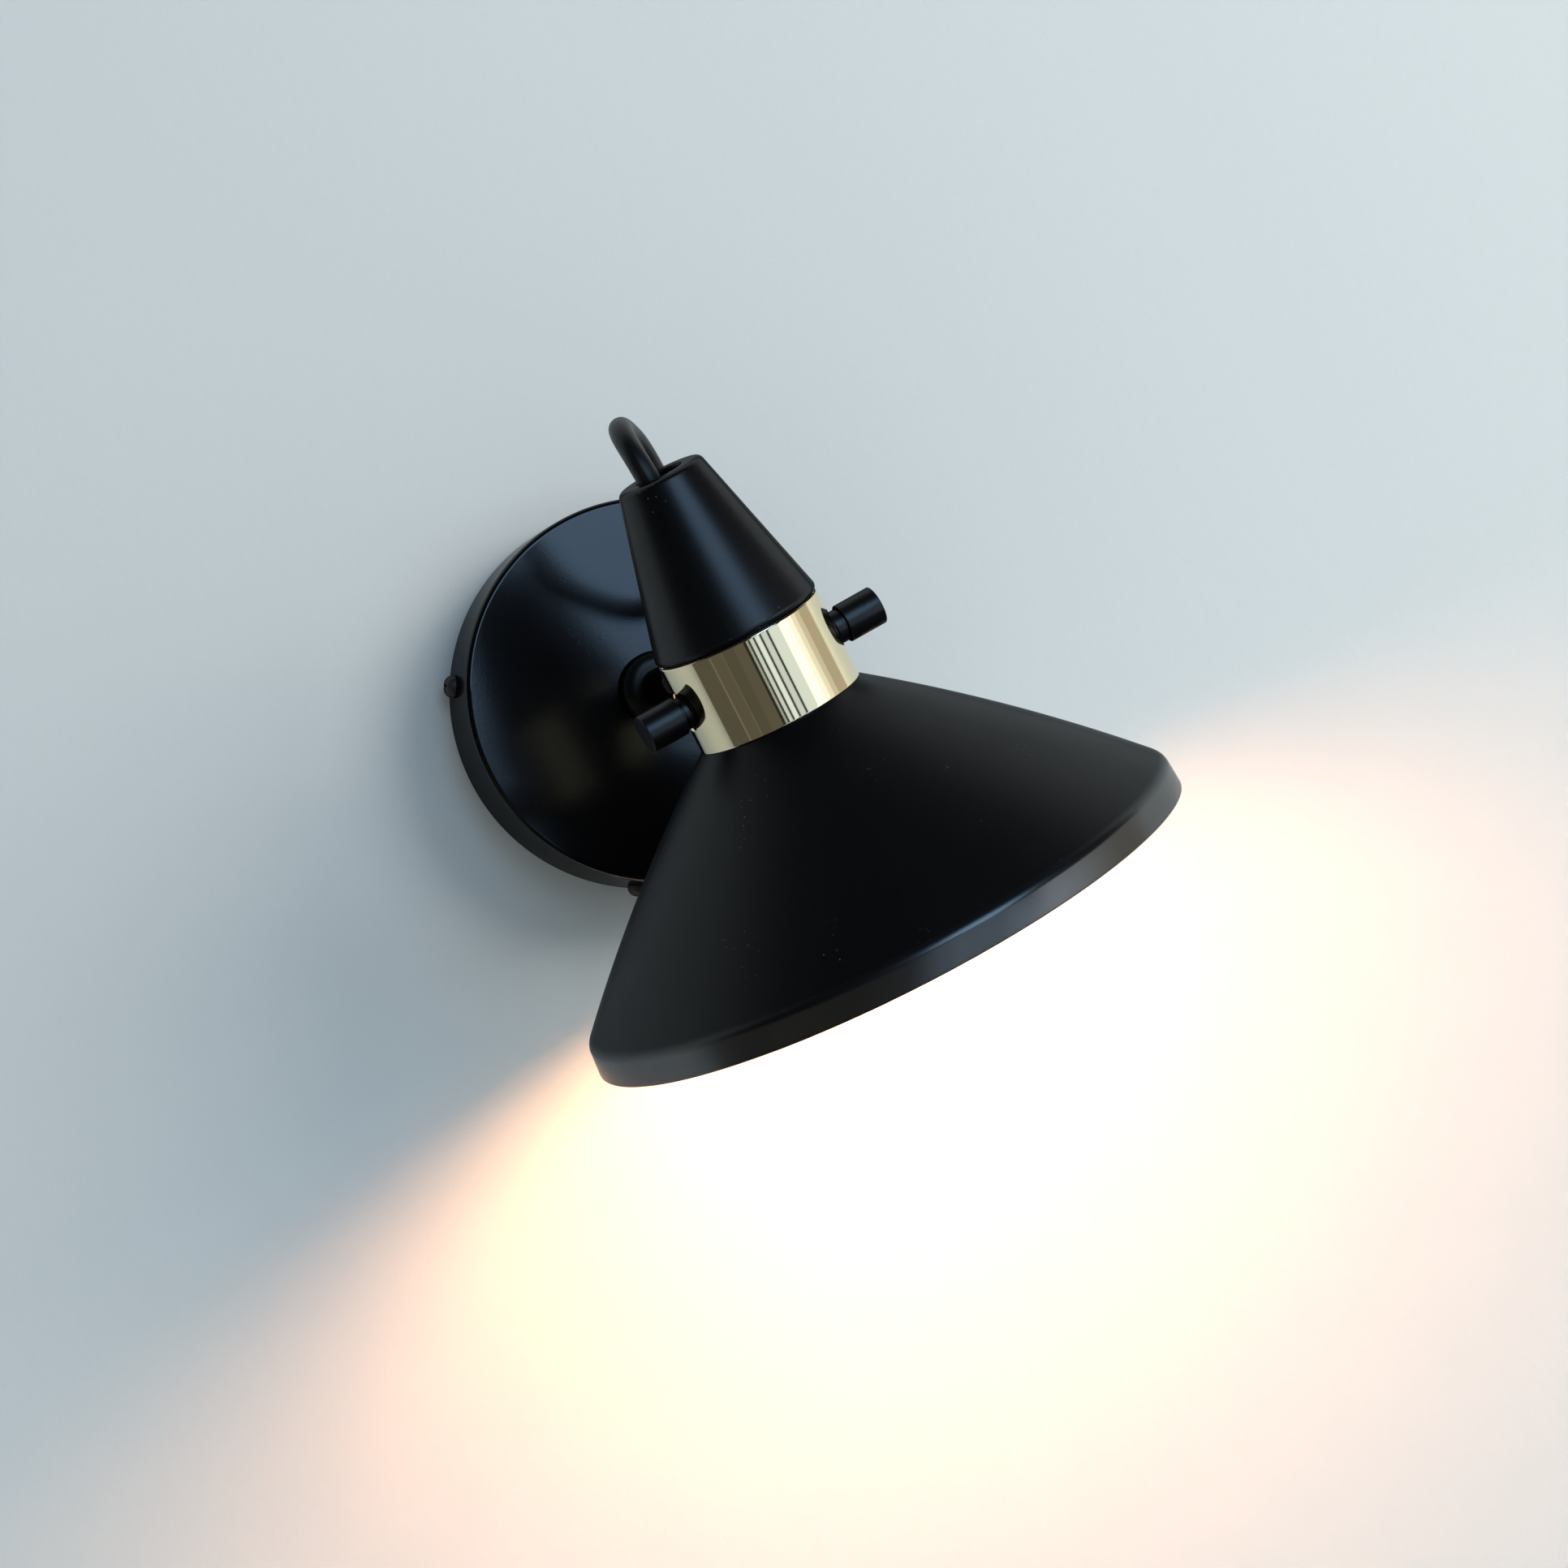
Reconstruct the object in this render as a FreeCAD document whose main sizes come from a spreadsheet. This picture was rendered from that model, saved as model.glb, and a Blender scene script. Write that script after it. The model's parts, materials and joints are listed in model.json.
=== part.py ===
"""Pivoting spotlight wall light.

A round wall plate carries a short arm on a friction swivel.  The arm ends in a friction hinge that
carries the head: a brass collar with a cap above it, a bell shade below it and the lampholder inside.
Two thumb screws in the collar lock the shade's sleeve.  A flex runs from the plate over to the cap.

Row frame, millimetres: the wall is the plane y = 0, the light stands out along -Y, +Z is up, and the
origin is the centre of the mounting bracket's back.  Pieces of the plate and the arm are drawn in the
wall frame, whose z points out of the wall, and pieces of the head in the head frame, whose z runs up
the head from the middle of the collar, whose x runs along the thumb screws and whose y points to the arm.
"""

import FreeCAD, Part
import math
import os
import Sketcher

Vector = FreeCAD.Vector
Rotation = FreeCAD.Rotation
Placement = FreeCAD.Placement

SIZES = {
    # fits
    "runningGap": 0.05,  # radial or axial, where one piece turns in or on another
    "threadGap": 0.04,  # radial, in a threaded hole
    "slideGap": 0.2,  # radial, where one tube slides in another
    # wall plate, a drawn steel cup
    "plateRadius": 61.5,
    "plateDepth": 27.2,
    "plateWall": 1.2,
    "plateEdge": 1.8,
    "plateTurn": 1.0,  # degrees clockwise, as it was screwed to the wall
    # screws that hold the plate to the bracket
    "rimScrewRadius": 2.0,
    "rimScrewHead": 3.7,
    "rimScrewHeadHeight": 3.2,
    "rimScrewLength": 8.0,
    "rimScrewFromWall": 7.6,
    "recessRadius": 1.1,
    "recessDepth": 1.2,
    # mounting bracket
    "bracketThickness": 2.0,
    "bracketRadius": 47.0,
    "tabWidth": 12.0,
    "tabHeight": 13.0,
    "tabGap": 0.6,
    "wireHoleRadius": 13.0,
    "slotSpacing": 70.0,  # between the middles of the two wall slots
    "slotWidth": 5.2,
    "slotTravel": 8.0,  # from one end arc's centre to the other's
    # terminal block, earth screw
    "terminalLength": 30.0,
    "terminalDepth": 17.0,
    "terminalHeight": 13.0,
    "terminalPitch": 9.0,
    "terminalFromCentre": 31.0,
    "terminalScrewRadius": 1.8,
    "terminalBore": 2.2,
    "earthScrewRadius": 2.0,
    "earthScrewHead": 3.8,
    "earthScrewHeadHeight": 2.4,
    "earthScrewX": 26.0,
    "earthScrewY": -24.0,
    # swivel of the arm on the plate
    "washerThickness": 1.0,
    "washerRadius": 10.5,
    "hubRadius": 12.0,
    "hubHeight": 5.0,
    "hubEdge": 4.2,
    "spigotRadius": 5.0,
    "spigotLength": 13.5,
    "thrustThickness": 1.2,
    "springThickness": 1.6,
    "swivelNutFlats": 17.0,
    "swivelNutHeight": 5.0,
    # arm
    "stemRadius": 6.0,
    "stemThread": 4.0,
    "stemThreadLength": 6.0,
    "hingeFromWall": 87.0,
    "forkRadius": 7.0,
    "forkLength": 14.0,  # from the fork's foot to the hinge axis
    "forkGap": 6.2,
    "forkFloor": 8.4,  # from the hinge axis to the bottom of the slot
    "hingeScrewRadius": 2.5,
    "hingeHeadRadius": 4.5,
    "hingeHeadHeight": 2.6,
    "hingeNutFlats": 8.0,
    "hingeNutHeight": 4.0,
    "hingeWasherThickness": 0.6,
    "hingeWasherRadius": 6.0,
    # neck between the hinge and the collar
    "neckRadius": 5.0,
    "neckReach": 62.0,  # from the hinge axis to the head's axis
    "tongueRadius": 6.8,
    "tongueLength": 10.0,
    "neckFlangeRadius": 8.0,
    "neckFlangeHeight": 3.0,
    "neckThread": 4.0,
    "neckNutFlats": 13.0,
    "neckNutHeight": 3.0,
    # how the head stands at rest
    "headTurn": 30.0,  # degrees about the arm
    "headTilt": 8.0,  # degrees about the hinge, the mouth towards the wall
    # collar
    "collarRadius": 26.45,
    "collarWall": 2.0,
    "collarHeight": 28.7,
    "collarEdge": 0.4,
    "pinHoleRadius": 6.5,
    # cap
    "capHeight": 52.2,
    "capOverhang": 0.75,  # how far its foot stands out beyond the collar's face
    "capTopRadius": 13.6,
    "capWall": 1.5,
    "capBoreGap": 0.15,  # radial, from the collar's bore out to the cap's
    "capBottomEdge": 2.0,
    "capTopEdge": 2.0,
    "capHoleRadius": 7.2,
    "capHoleLip": 0.6,
    # carrier ring between the collar and the cap
    "carrierThickness": 2.0,
    "carrierHeight": 10.0,
    "carrierWall": 1.2,
    "carrierBelowJoint": 4.5,  # how far its floor lies below the collar's top
    # threaded tube, its nut and the cord grip
    "tubeRadius": 5.0,
    "tubeBore": 3.75,
    "tubeLength": 26.0,
    "tubeNutFlats": 14.0,
    "tubeNutHeight": 3.0,
    "gripRadius": 7.2,
    "gripHeight": 16.0,
    "gripOverlap": 6.0,
    "gripScrewRadius": 1.5,
    "gripScrewLength": 4.5,
    # lampholder
    "holderRoom": 5.45,  # between the lampholder and the collar's bore, for the nut of the neck
    "holderHeight": 27.0,
    "holderFloor": 7.0,
    "holderBore": 14.6,
    "holderEdge": 1.5,
    "shellRadius": 14.4,
    "shellWall": 0.7,
    "shellHeight": 17.0,
    "contactRadius": 4.5,
    "contactHeight": 1.6,
    # bulb
    "bulbCapRadius": 13.1,
    "bulbCapHeight": 24.0,
    "bulbTipRadius": 4.5,
    "bulbTipHeight": 3.0,
    "globeRadius": 22.5,
    "globeLength": 53.0,
    "globeWall": 1.0,
    # shade and its sleeve
    "sleeveWall": 1.5,
    "sleeveTop": 7.5,  # above the middle of the collar
    "sleeveSlotWidth": 18.0,
    "sleeveSlotDepth": 16.5,
    "sleeveFlange": 1.1,
    "sleeveFlangeHeight": 1.2,
    "sleeveNutRadius": 5.0,
    "sleeveNutThickness": 2.4,
    "shadeRadius": 98.0,
    "shadeRimHeight": 8.9,
    "shadeRimFlare": 0.7,
    "shadeDrop": 64.5,  # from the collar's foot to the crease
    "shadeBulge": 2.0,  # how far the bell stands out of the straight line from its shoulder to the crease
    "shoulderInset": 0.15,  # how far the shade's shoulder lies inside the collar's face
    "shadeWall": 1.2,
    "shadeCrease": 4.0,
    # thumb screws
    "knobRadius": 6.05,
    "knobLength": 12.2,
    "knobStandOff": 14.75,  # from the collar's face to the outer face
    "knobEdge": 0.35,
    "rightDrive": 0.8,
    "leftDrive": -0.8,
    "grooveRadius": 4.9,
    "grooveWidth": 0.7,
    "shoulderRadius": 5.2,
    "shoulderLength": 2.8,
    "pinThread": 2.5,
    "pinReach": 6.05,  # from the collar's face in to the inner end
    # flex and where it leaves the plate
    "cordRadius": 3.6,
    "loopRadius": 18.2,
    "loopRise": 15.0,  # the loop's crest above the cap, on the flex's middle line
    "plateHoleX": 11.0,
    "plateHoleY": 40.5,
    "plateHoleRadius": 6.0,
    "grommetFlange": 7.6,
    "grommetLip": 1.4,
    "grommetGroove": 1.4,
}

doc = FreeCAD.newDocument("WallLight")
sheet = doc.addObject("Spreadsheet::Sheet", "Sizes")
for row, (alias, number) in enumerate(SIZES.items(), start=1):
    sheet.set(f"A{row}", alias)
    sheet.set(f"B{row}", str(number))
    sheet.setAlias(f"B{row}", alias)
doc.recompute()


def spelled(expression):
    """The expression with each size's name led by the sheet's name."""
    words = []
    word = ""
    for letter in str(expression) + " ":
        if letter.isalnum() or letter == "_":
            word += letter
            continue
        words.append("Sizes." + word if word in SIZES else word)
        words.append(letter)
        word = ""
    return "".join(words).strip()


def value(expression):
    """The number that an expression in the sheet's sizes has now."""
    return float(sheet.evalExpression(spelled(expression)))


def bind(thing, prop, expression):
    """Ties one property of an object to an expression in the sheet's sizes."""
    thing.setExpression(prop, spelled(expression))


def put(thing, x="0", y="0", z="0"):
    """Ties an object's place to the sheet's sizes."""
    for letter, expression in zip("xyz", (x, y, z)):
        bind(thing, f"Placement.Base.{letter}", expression)
    return thing


# sketches and features of PartDesign bodies


def new_body(label):
    body = doc.addObject("PartDesign::Body", label)
    body.Label = label
    return body


def plane_of(body, role):
    return [plane for plane in body.Origin.OriginFeatures if plane.Role == role][0]


def new_sketch(body, role, name):
    sketch = body.newObject("Sketcher::SketchObject", name)
    sketch.AttachmentSupport = [(plane_of(body, role), "")]
    sketch.MapMode = "FlatFace"
    return sketch


def pin_point(sketch, line, end, x, y):
    """Holds one end of a line at (x, y), each an expression in the sheet's sizes."""
    for kind, expression in (("DistanceX", x), ("DistanceY", y)):
        rule = sketch.addConstraint(
            Sketcher.Constraint(kind, -1, 1, line, end, value(expression))
        )
        bind(sketch, f"Constraints[{rule}]", expression)


def draw_outline(sketch, points, arcs=None):
    """A closed outline through points given as expressions.  arcs maps the number of a side to the
    radius of the arc that it is, positive where the arc bulges to the left of its direction."""
    arcs = arcs or {}
    corners = [Vector(value(x), value(y), 0) for x, y in points]
    count = len(corners)
    starts = []
    for side in range(count):
        a, b = corners[side], corners[(side + 1) % count]
        if side in arcs:
            radius = value(arcs[side])
            if radius > 0:
                a, b = b, a
            half = (b - a) * 0.5
            reach = math.sqrt(radius**2 - half.Length**2)
            centre = a + half + Vector(-half.y, half.x, 0).normalize() * reach
            circle = Part.Circle(centre, Vector(0, 0, 1), abs(radius))
            first = math.atan2(a.y - centre.y, a.x - centre.x)
            last = math.atan2(b.y - centre.y, b.x - centre.x)
            if last < first:
                last += 2 * math.pi
            line = sketch.addGeometry(Part.ArcOfCircle(circle, first, last), False)
            starts.append((line, 2, 1) if radius > 0 else (line, 1, 2))
            rule = sketch.addConstraint(Sketcher.Constraint("Radius", line, abs(radius)))
            bind(sketch, f"Constraints[{rule}]", f"abs({arcs[side]})")
        else:
            line = sketch.addGeometry(Part.LineSegment(a, b), False)
            starts.append((line, 1, 2))
    for side in range(count):
        line, _, end = starts[side]
        following, start, _ = starts[(side + 1) % count]
        sketch.addConstraint(Sketcher.Constraint("Coincident", line, end, following, start))
    for (line, start, _), (x, y) in zip(starts, points):
        pin_point(sketch, line, start, x, y)


def draw_circle(sketch, radius, x="0", y="0"):
    circle = sketch.addGeometry(
        Part.Circle(Vector(value(x), value(y), 0), Vector(0, 0, 1), value(radius)), False
    )
    rule = sketch.addConstraint(Sketcher.Constraint("Radius", circle, value(radius)))
    bind(sketch, f"Constraints[{rule}]", radius)
    pin_point(sketch, circle, 3, x, y)


def draw_rectangle(sketch, left, bottom, right, top):
    draw_outline(sketch, [(left, bottom), (right, bottom), (right, top), (left, top)])


def pad(body, sketch, length, midplane=False, reverse=False):
    feature = body.newObject("PartDesign::Pad", sketch.Name + "Pad")
    feature.Profile = sketch
    bind(feature, "Length", length)
    feature.Midplane = midplane
    feature.Reversed = reverse
    doc.recompute()
    return feature


def cut_volume(body, sketch, length=None, midplane=False):
    """A pocket, turned round if it points away from the solid: one that removes nothing is an error."""
    before = body.Shape.Volume
    feature = body.newObject("PartDesign::Pocket", sketch.Name + "Pocket")
    feature.Profile = sketch
    feature.Midplane = midplane
    if length is None:
        feature.Type = "ThroughAll"
    else:
        bind(feature, "Length", length)
    doc.recompute()
    if body.Shape.Volume > before - 1e-6:
        feature.Reversed = True
        doc.recompute()
    if body.Shape.Volume > before - 1e-6:
        raise RuntimeError(f"{feature.Name} removes nothing")
    return feature


def turn_round(body, sketch):
    """Revolves the sketch about its own upright axis."""
    feature = body.newObject("PartDesign::Revolution", sketch.Name + "Turned")
    feature.Profile = sketch
    feature.ReferenceAxis = (sketch, ["V_Axis"])
    feature.Angle = 360
    doc.recompute()
    return feature


def circles_at(feature, height, radius, axis="z"):
    """Names of the round edges centred on the axis with this radius, at this height."""
    names = []
    for number, edge in enumerate(feature.Shape.Edges, start=1):
        curve = edge.Curve
        if curve.TypeId != "Part::GeomCircle":
            continue
        same_radius = abs(curve.Radius - value(radius)) < 1e-3
        if same_radius and abs(getattr(curve.Center, axis) - value(height)) < 1e-3:
            names.append(f"Edge{number}")
    if not names:
        raise RuntimeError(f"{feature.Name} has no round edge at {height}")
    return names


def dress(body, kind, base, edges, amount):
    """A fillet or chamfer on the named edges of the body's last feature."""
    feature = body.newObject(f"PartDesign::{kind}", base.Name + kind)
    feature.Base = (base, edges)
    bind(feature, "Radius" if kind == "Fillet" else "Size", amount)
    doc.recompute()
    return feature


def hollow(body, base, height, wall):
    """Leaves a wall of this thickness inside the solid, open at the flat face at this height."""
    faces = []
    for number, face in enumerate(base.Shape.Faces, start=1):
        flat = face.Surface.TypeId == "Part::GeomPlane"
        if flat and abs(face.CenterOfMass.z - value(height)) < 1e-3:
            faces.append(f"Face{number}")
    feature = body.newObject("PartDesign::Thickness", base.Name + "Hollow")
    feature.Base = (base, faces[:1])
    bind(feature, "Value", wall)
    feature.Mode = 0
    feature.Join = 0
    for reverse in (True, False):
        feature.Reversed = reverse
        doc.recompute()
        if feature.Shape.BoundBox.XLength < base.Shape.BoundBox.XLength + 1e-3:
            return feature
    raise RuntimeError(f"{feature.Name} grows outwards")


# Part primitives


def cylinder(name, radius, length, x="0", y="0", z="0", along="z"):
    thing = doc.addObject("Part::Cylinder", name)
    bind(thing, "Radius", radius)
    bind(thing, "Height", length)
    turns = {"z": (Vector(0, 0, 1), 0), "x": (Vector(0, 1, 0), 90), "y": (Vector(1, 0, 0), -90)}
    axis, angle = turns[along]
    thing.Placement = Placement(Vector(0, 0, 0), Rotation(axis, angle))
    return put(thing, x, y, z)


def block(name, length, width, height, x="0", y="0", z="0"):
    """A box that stands on z and is centred on x and y."""
    thing = doc.addObject("Part::Box", name)
    bind(thing, "Length", length)
    bind(thing, "Width", width)
    bind(thing, "Height", height)
    return put(thing, f"({x}) - ({length}) / 2", f"({y}) - ({width}) / 2", z)


def hexagon(name, flats, height, x="0", y="0", z="0", along="z"):
    thing = doc.addObject("Part::Prism", name)
    thing.Polygon = 6
    bind(thing, "Circumradius", f"({flats}) / sqrt(3)")
    bind(thing, "Height", height)
    turns = {"z": (Vector(0, 0, 1), 0), "x": (Vector(0, 1, 0), 90), "y": (Vector(1, 0, 0), -90)}
    axis, angle = turns[along]
    thing.Placement = Placement(Vector(0, 0, 0), Rotation(axis, angle))
    return put(thing, x, y, z)


def joined(label, *things):
    """Several primitives made one."""
    whole = doc.addObject("Part::MultiFuse", label)
    whole.Shapes = list(things)
    whole.Refine = True
    whole.Label = label
    doc.recompute()
    return whole


def cut(label, base, *tools):
    """The base without the tools."""
    for number, tool in enumerate(tools):
        rest = doc.addObject("Part::Cut", label if number == len(tools) - 1 else f"{label}Cut{number}")
        rest.Base = base
        rest.Tool = tool
        base = rest
    base.Refine = True
    base.Label = label
    doc.recompute()
    return base


def rounded(label, base, height, radius, amount, axis="z"):
    """A Part fillet round the circle at this height."""
    thing = doc.addObject("Part::Fillet", label)
    thing.Base = base
    numbers = [int(name[4:]) for name in circles_at(base, height, radius, axis)]
    size = value(amount)
    thing.Edges = [(number, size, size) for number in numbers]
    thing.Label = label
    doc.recompute()
    return thing


# frames

WALL = Placement(Vector(0, 0, 0), Rotation(Vector(1, 0, 0), 90))
PLATE = WALL * Placement(Vector(0, 0, 0), Rotation(Vector(0, 0, 1), -value("plateTurn")))
SWIVEL = WALL * Placement(Vector(0, 0, 0), Rotation(Vector(0, 0, 1), value("headTurn")))
HINGE = SWIVEL * Placement(Vector(0, 0, value("hingeFromWall")), Rotation(Vector(1, 0, 0), value("headTilt")))
HEAD = HINGE * Placement(Vector(0, 0, value("neckReach")), Rotation(Vector(1, 0, 0), -90))

nodes = {}


def keep(thing, frame):
    """Puts a finished piece in its frame and lists it as a node of the light."""
    thing.Placement = frame
    nodes[thing.Label] = thing
    return thing


# places that several pieces share, as expressions in the sheet's sizes

PLATE_FACE = "plateDepth"
PLATE_INNER = "plateDepth - plateWall"
HUB_BASE = "plateDepth + washerThickness + runningGap"
HUB_TOP = f"{HUB_BASE} + hubHeight"
FORK_FOOT = "hingeFromWall - forkLength"
COLLAR_TOP = "collarHeight / 2"
COLLAR_FOOT = "-collarHeight / 2"
COLLAR_BORE = "collarRadius - collarWall"
CAP_FOOT_RADIUS = "collarRadius + capOverhang"
HOLDER_RADIUS = f"{COLLAR_BORE} - holderRoom"
SHOULDER_RADIUS = "collarRadius - shoulderInset"
KNOB_END = "collarRadius + knobStandOff"
PIN_TIP = "collarRadius - pinReach"
CAP_TOP = f"{COLLAR_TOP} + capHeight"
CARRIER_FLOOR = f"{COLLAR_TOP} - carrierBelowJoint"
CARRIER_BASE = f"{CARRIER_FLOOR} - carrierThickness"
HOLDER_TOP = f"{CARRIER_BASE}"
TUBE_FOOT = f"{HOLDER_TOP} - holderFloor + 1"
TUBE_TOP = f"{TUBE_FOOT} + tubeLength"
GRIP_BASE = f"{TUBE_TOP} - gripOverlap"
GRIP_TOP = f"{GRIP_BASE} + gripHeight"
HOLDER_FOOT = f"{HOLDER_TOP} - holderHeight"
CONTACT_TOP = f"{HOLDER_TOP} - holderFloor"
BULB_TOP = f"{CONTACT_TOP} - contactHeight"
BULB_CAP_FOOT = f"{BULB_TOP} - bulbCapHeight"
SLEEVE_RADIUS = f"{COLLAR_BORE} - slideGap"
SLEEVE_BORE = f"{SLEEVE_RADIUS} - sleeveWall"
SHADE_TOP = COLLAR_FOOT
CREASE = f"{SHADE_TOP} - shadeDrop"
MOUTH = f"{CREASE} - shadeRimHeight"
NECK_FACE = "neckReach - collarRadius"  # where the neck meets the collar, from the hinge


# plate and bracket


def wall_plate():
    body = new_body("wall_plate")
    disc = new_sketch(body, "XY_Plane", "plateDisc")
    draw_circle(disc, "plateRadius")
    solid = pad(body, disc, "plateDepth")
    edge = dress(body, "Fillet", solid, circles_at(solid, PLATE_FACE, "plateRadius"), "plateEdge")
    hollow(body, edge, "0", "plateWall")
    holes = new_sketch(body, "XY_Plane", "plateHoles")
    draw_circle(holes, "spigotRadius + runningGap")
    draw_circle(holes, "plateHoleRadius", "plateHoleX", "plateHoleY")
    cut_volume(body, holes, "plateDepth + 1")
    for role, name in (("XZ_Plane", "plateScrewsUpright"), ("YZ_Plane", "plateScrewsLevel")):
        side = new_sketch(body, role, name)
        draw_circle(side, "rimScrewRadius + slideGap", "0", "rimScrewFromWall")
        cut_volume(body, side, "2 * plateRadius + 2", midplane=True)
    return keep(body, PLATE)


def mounting_bracket():
    """A round plate with four tabs that stand behind the rim screws, turned with the wall plate.  The
    two slots for the wall screws are cut level."""
    body = new_body("bracketBlank")
    reach = "plateRadius - plateWall - tabGap"
    disc = new_sketch(body, "XY_Plane", "bracketDisc")
    draw_circle(disc, "bracketRadius")
    pad(body, disc, "bracketThickness")
    for name, length, width in (
        ("bracketBarLevel", reach, "tabWidth / 2"), ("bracketBarUpright", "tabWidth / 2", reach)
    ):
        bar = new_sketch(body, "XY_Plane", name)
        draw_rectangle(bar, f"-({length})", f"-({width})", length, width)
        pad(body, bar, "bracketThickness")
    for name, sign in (("Right", 1), ("Left", -1)):
        near, far = f"{sign} * ({reach} - bracketThickness)", f"{sign} * ({reach})"
        low, high = (near, far) if sign > 0 else (far, near)
        tab = new_sketch(body, "XY_Plane", "bracketTab" + name)
        draw_rectangle(tab, low, "-tabWidth / 2", high, "tabWidth / 2")
        pad(body, tab, "tabHeight")
        tab = new_sketch(body, "XY_Plane", "bracketTabUpright" + name)
        draw_rectangle(tab, "-tabWidth / 2", low, "tabWidth / 2", high)
        pad(body, tab, "tabHeight")
    holes = new_sketch(body, "XY_Plane", "bracketHoles")
    draw_circle(holes, "wireHoleRadius")
    draw_circle(holes, "earthScrewRadius + threadGap", "earthScrewX", "earthScrewY")
    cut_volume(body, holes, "bracketThickness + 1")
    for role, name in (("XZ_Plane", "bracketScrewsUpright"), ("YZ_Plane", "bracketScrewsLevel")):
        side = new_sketch(body, role, name)
        draw_circle(side, "rimScrewRadius + threadGap", "0", "rimScrewFromWall")
        cut_volume(body, side, "2 * plateRadius", midplane=True)
    body.Placement = Placement(Vector(0, 0, 0), Rotation(Vector(0, 0, 1), -value("plateTurn")))
    slots = []
    height = "bracketThickness + 2"
    for side in ("", "-"):
        middle = f"{side}slotSpacing / 2"
        slots.append(block(f"wallSlot{side}Middle", "slotTravel", "slotWidth", height, middle, "0", "-1"))
        for end in ("+", "-"):
            centre = f"{middle} {end} slotTravel / 2"
            slots.append(cylinder(f"wallSlot{side}End", "slotWidth / 2", height, centre, "0", "-1"))
    return keep(cut("mounting_bracket", body, joined("wallSlots", *slots)), WALL)


def rim_screws():
    """Four pan-head screws, the same solid turned a quarter at a time."""
    face = "plateRadius"
    head = cylinder(
        "rimScrewHeadBlank", "rimScrewHead", "rimScrewHeadHeight", x=face, z="rimScrewFromWall", along="x"
    )
    doc.recompute()
    dome = rounded(
        "rimScrewDome", head, f"{face} + rimScrewHeadHeight", "rimScrewHead", "rimScrewHeadHeight * 0.9",
        axis="x"
    )
    shank = cylinder(
        "rimScrewShank", "rimScrewRadius", "rimScrewLength", x=f"{face} - rimScrewLength",
        z="rimScrewFromWall", along="x"
    )
    whole = joined("rimScrewWhole", dome, shank)
    crown = f"{face} + rimScrewHeadHeight - recessDepth"
    middle = "rimScrewFromWall"
    wide = block(
        "rimScrewSlotA", "2 * recessDepth", "4 * recessRadius", "0.8", f"{crown} + recessDepth", "0",
        f"{middle} - 0.4"
    )
    tall = block(
        "rimScrewSlotB", "2 * recessDepth", "0.8", "4 * recessRadius", f"{crown} + recessDepth", "0",
        f"{middle} - 2 * recessRadius"
    )
    one = cut("rimScrewOne", whole, wide, tall)
    screws = doc.addObject("Part::Feature", "rim_screws")
    turns = [Rotation(Vector(0, 0, 1), 90 * quarter) for quarter in range(4)]
    screws.Shape = Part.makeCompound(
        [one.Shape.transformed(Placement(Vector(0, 0, 0), turn).toMatrix()) for turn in turns]
    )
    screws.Label = "rim_screws"
    return keep(screws, PLATE)


def terminal_block():
    base = "bracketThickness"
    middle = "-terminalFromCentre"
    body = block("terminalBlank", "terminalLength", "terminalDepth", "terminalHeight", "0", middle, base)
    tools = []
    for pole in (-1, 0, 1):
        at = f"{pole} * terminalPitch"
        tools.append(
            cylinder(
                f"terminalBore{pole + 1}", "terminalBore", "terminalDepth + 2", at,
                f"{middle} - terminalDepth / 2 - 1", f"{base} + 5", along="y",
            )
        )
        for row in (-1, 1):
            tools.append(
                cylinder(
                    f"terminalWell{pole + 1}{row + 1}", "terminalScrewRadius + threadGap",
                    "terminalHeight", at,
                    f"{middle} + {row} * terminalDepth / 4", f"{base} + 7",
                )
            )
    return keep(cut("terminal_block", body, joined("terminalCuts", *tools)), PLATE)


def terminal_screws():
    base = "bracketThickness + 7.2"
    pins = []
    for pole in (-1, 0, 1):
        for row in (-1, 1):
            pins.append(
                cylinder(
                    f"terminalScrew{pole + 1}{row + 1}", "terminalScrewRadius", "terminalHeight - 8",
                    f"{pole} * terminalPitch",
                    f"-terminalFromCentre + {row} * terminalDepth / 4", base,
                )
            )
    doc.recompute()
    screws = doc.addObject("Part::Compound", "terminal_screws")
    screws.Links = pins
    screws.Label = "terminal_screws"
    doc.recompute()
    return keep(screws, PLATE)


def earth_screw():
    head = cylinder(
        "earthHead", "earthScrewHead", "earthScrewHeadHeight", "earthScrewX", "earthScrewY",
        "bracketThickness"
    )
    shank = cylinder(
        "earthShank", "earthScrewRadius", "bracketThickness + 1", "earthScrewX", "earthScrewY", "0.2"
    )
    whole = joined("earthWhole", head, shank)
    slot = block(
        "earthSlot", "2 * earthScrewHead + 1", "0.9", "earthScrewHeadHeight", "earthScrewX", "earthScrewY",
        "bracketThickness + earthScrewHeadHeight * 0.55",
    )
    return keep(cut("earth_screw", whole, slot), PLATE)


def plate_grommet():
    """A rubber bush whose groove grips the plate's wall; its bore lies where the flex leaves the plate."""
    body = new_body("plate_grommet")
    ring = new_sketch(body, "XZ_Plane", "grommetRing")
    bore = "cordRadius + runningGap"
    inner = f"{PLATE_INNER} - grommetLip"
    outer = f"{PLATE_FACE} + grommetLip"
    draw_outline(
        ring,
        [
            (bore, inner), ("grommetFlange", inner), ("grommetFlange", PLATE_INNER),
            ("plateHoleRadius", PLATE_INNER), ("plateHoleRadius", PLATE_FACE), ("grommetFlange", PLATE_FACE),
            ("grommetFlange", outer), (bore, outer),
        ],
    )
    solid = turn_round(body, ring)
    dress(body, "Fillet", solid, circles_at(solid, outer, "grommetFlange"), "grommetLip * 0.6")
    return keep(body, PLATE * Placement(Vector(value("plateHoleX"), value("plateHoleY"), 0), Rotation()))


# swivel


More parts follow.
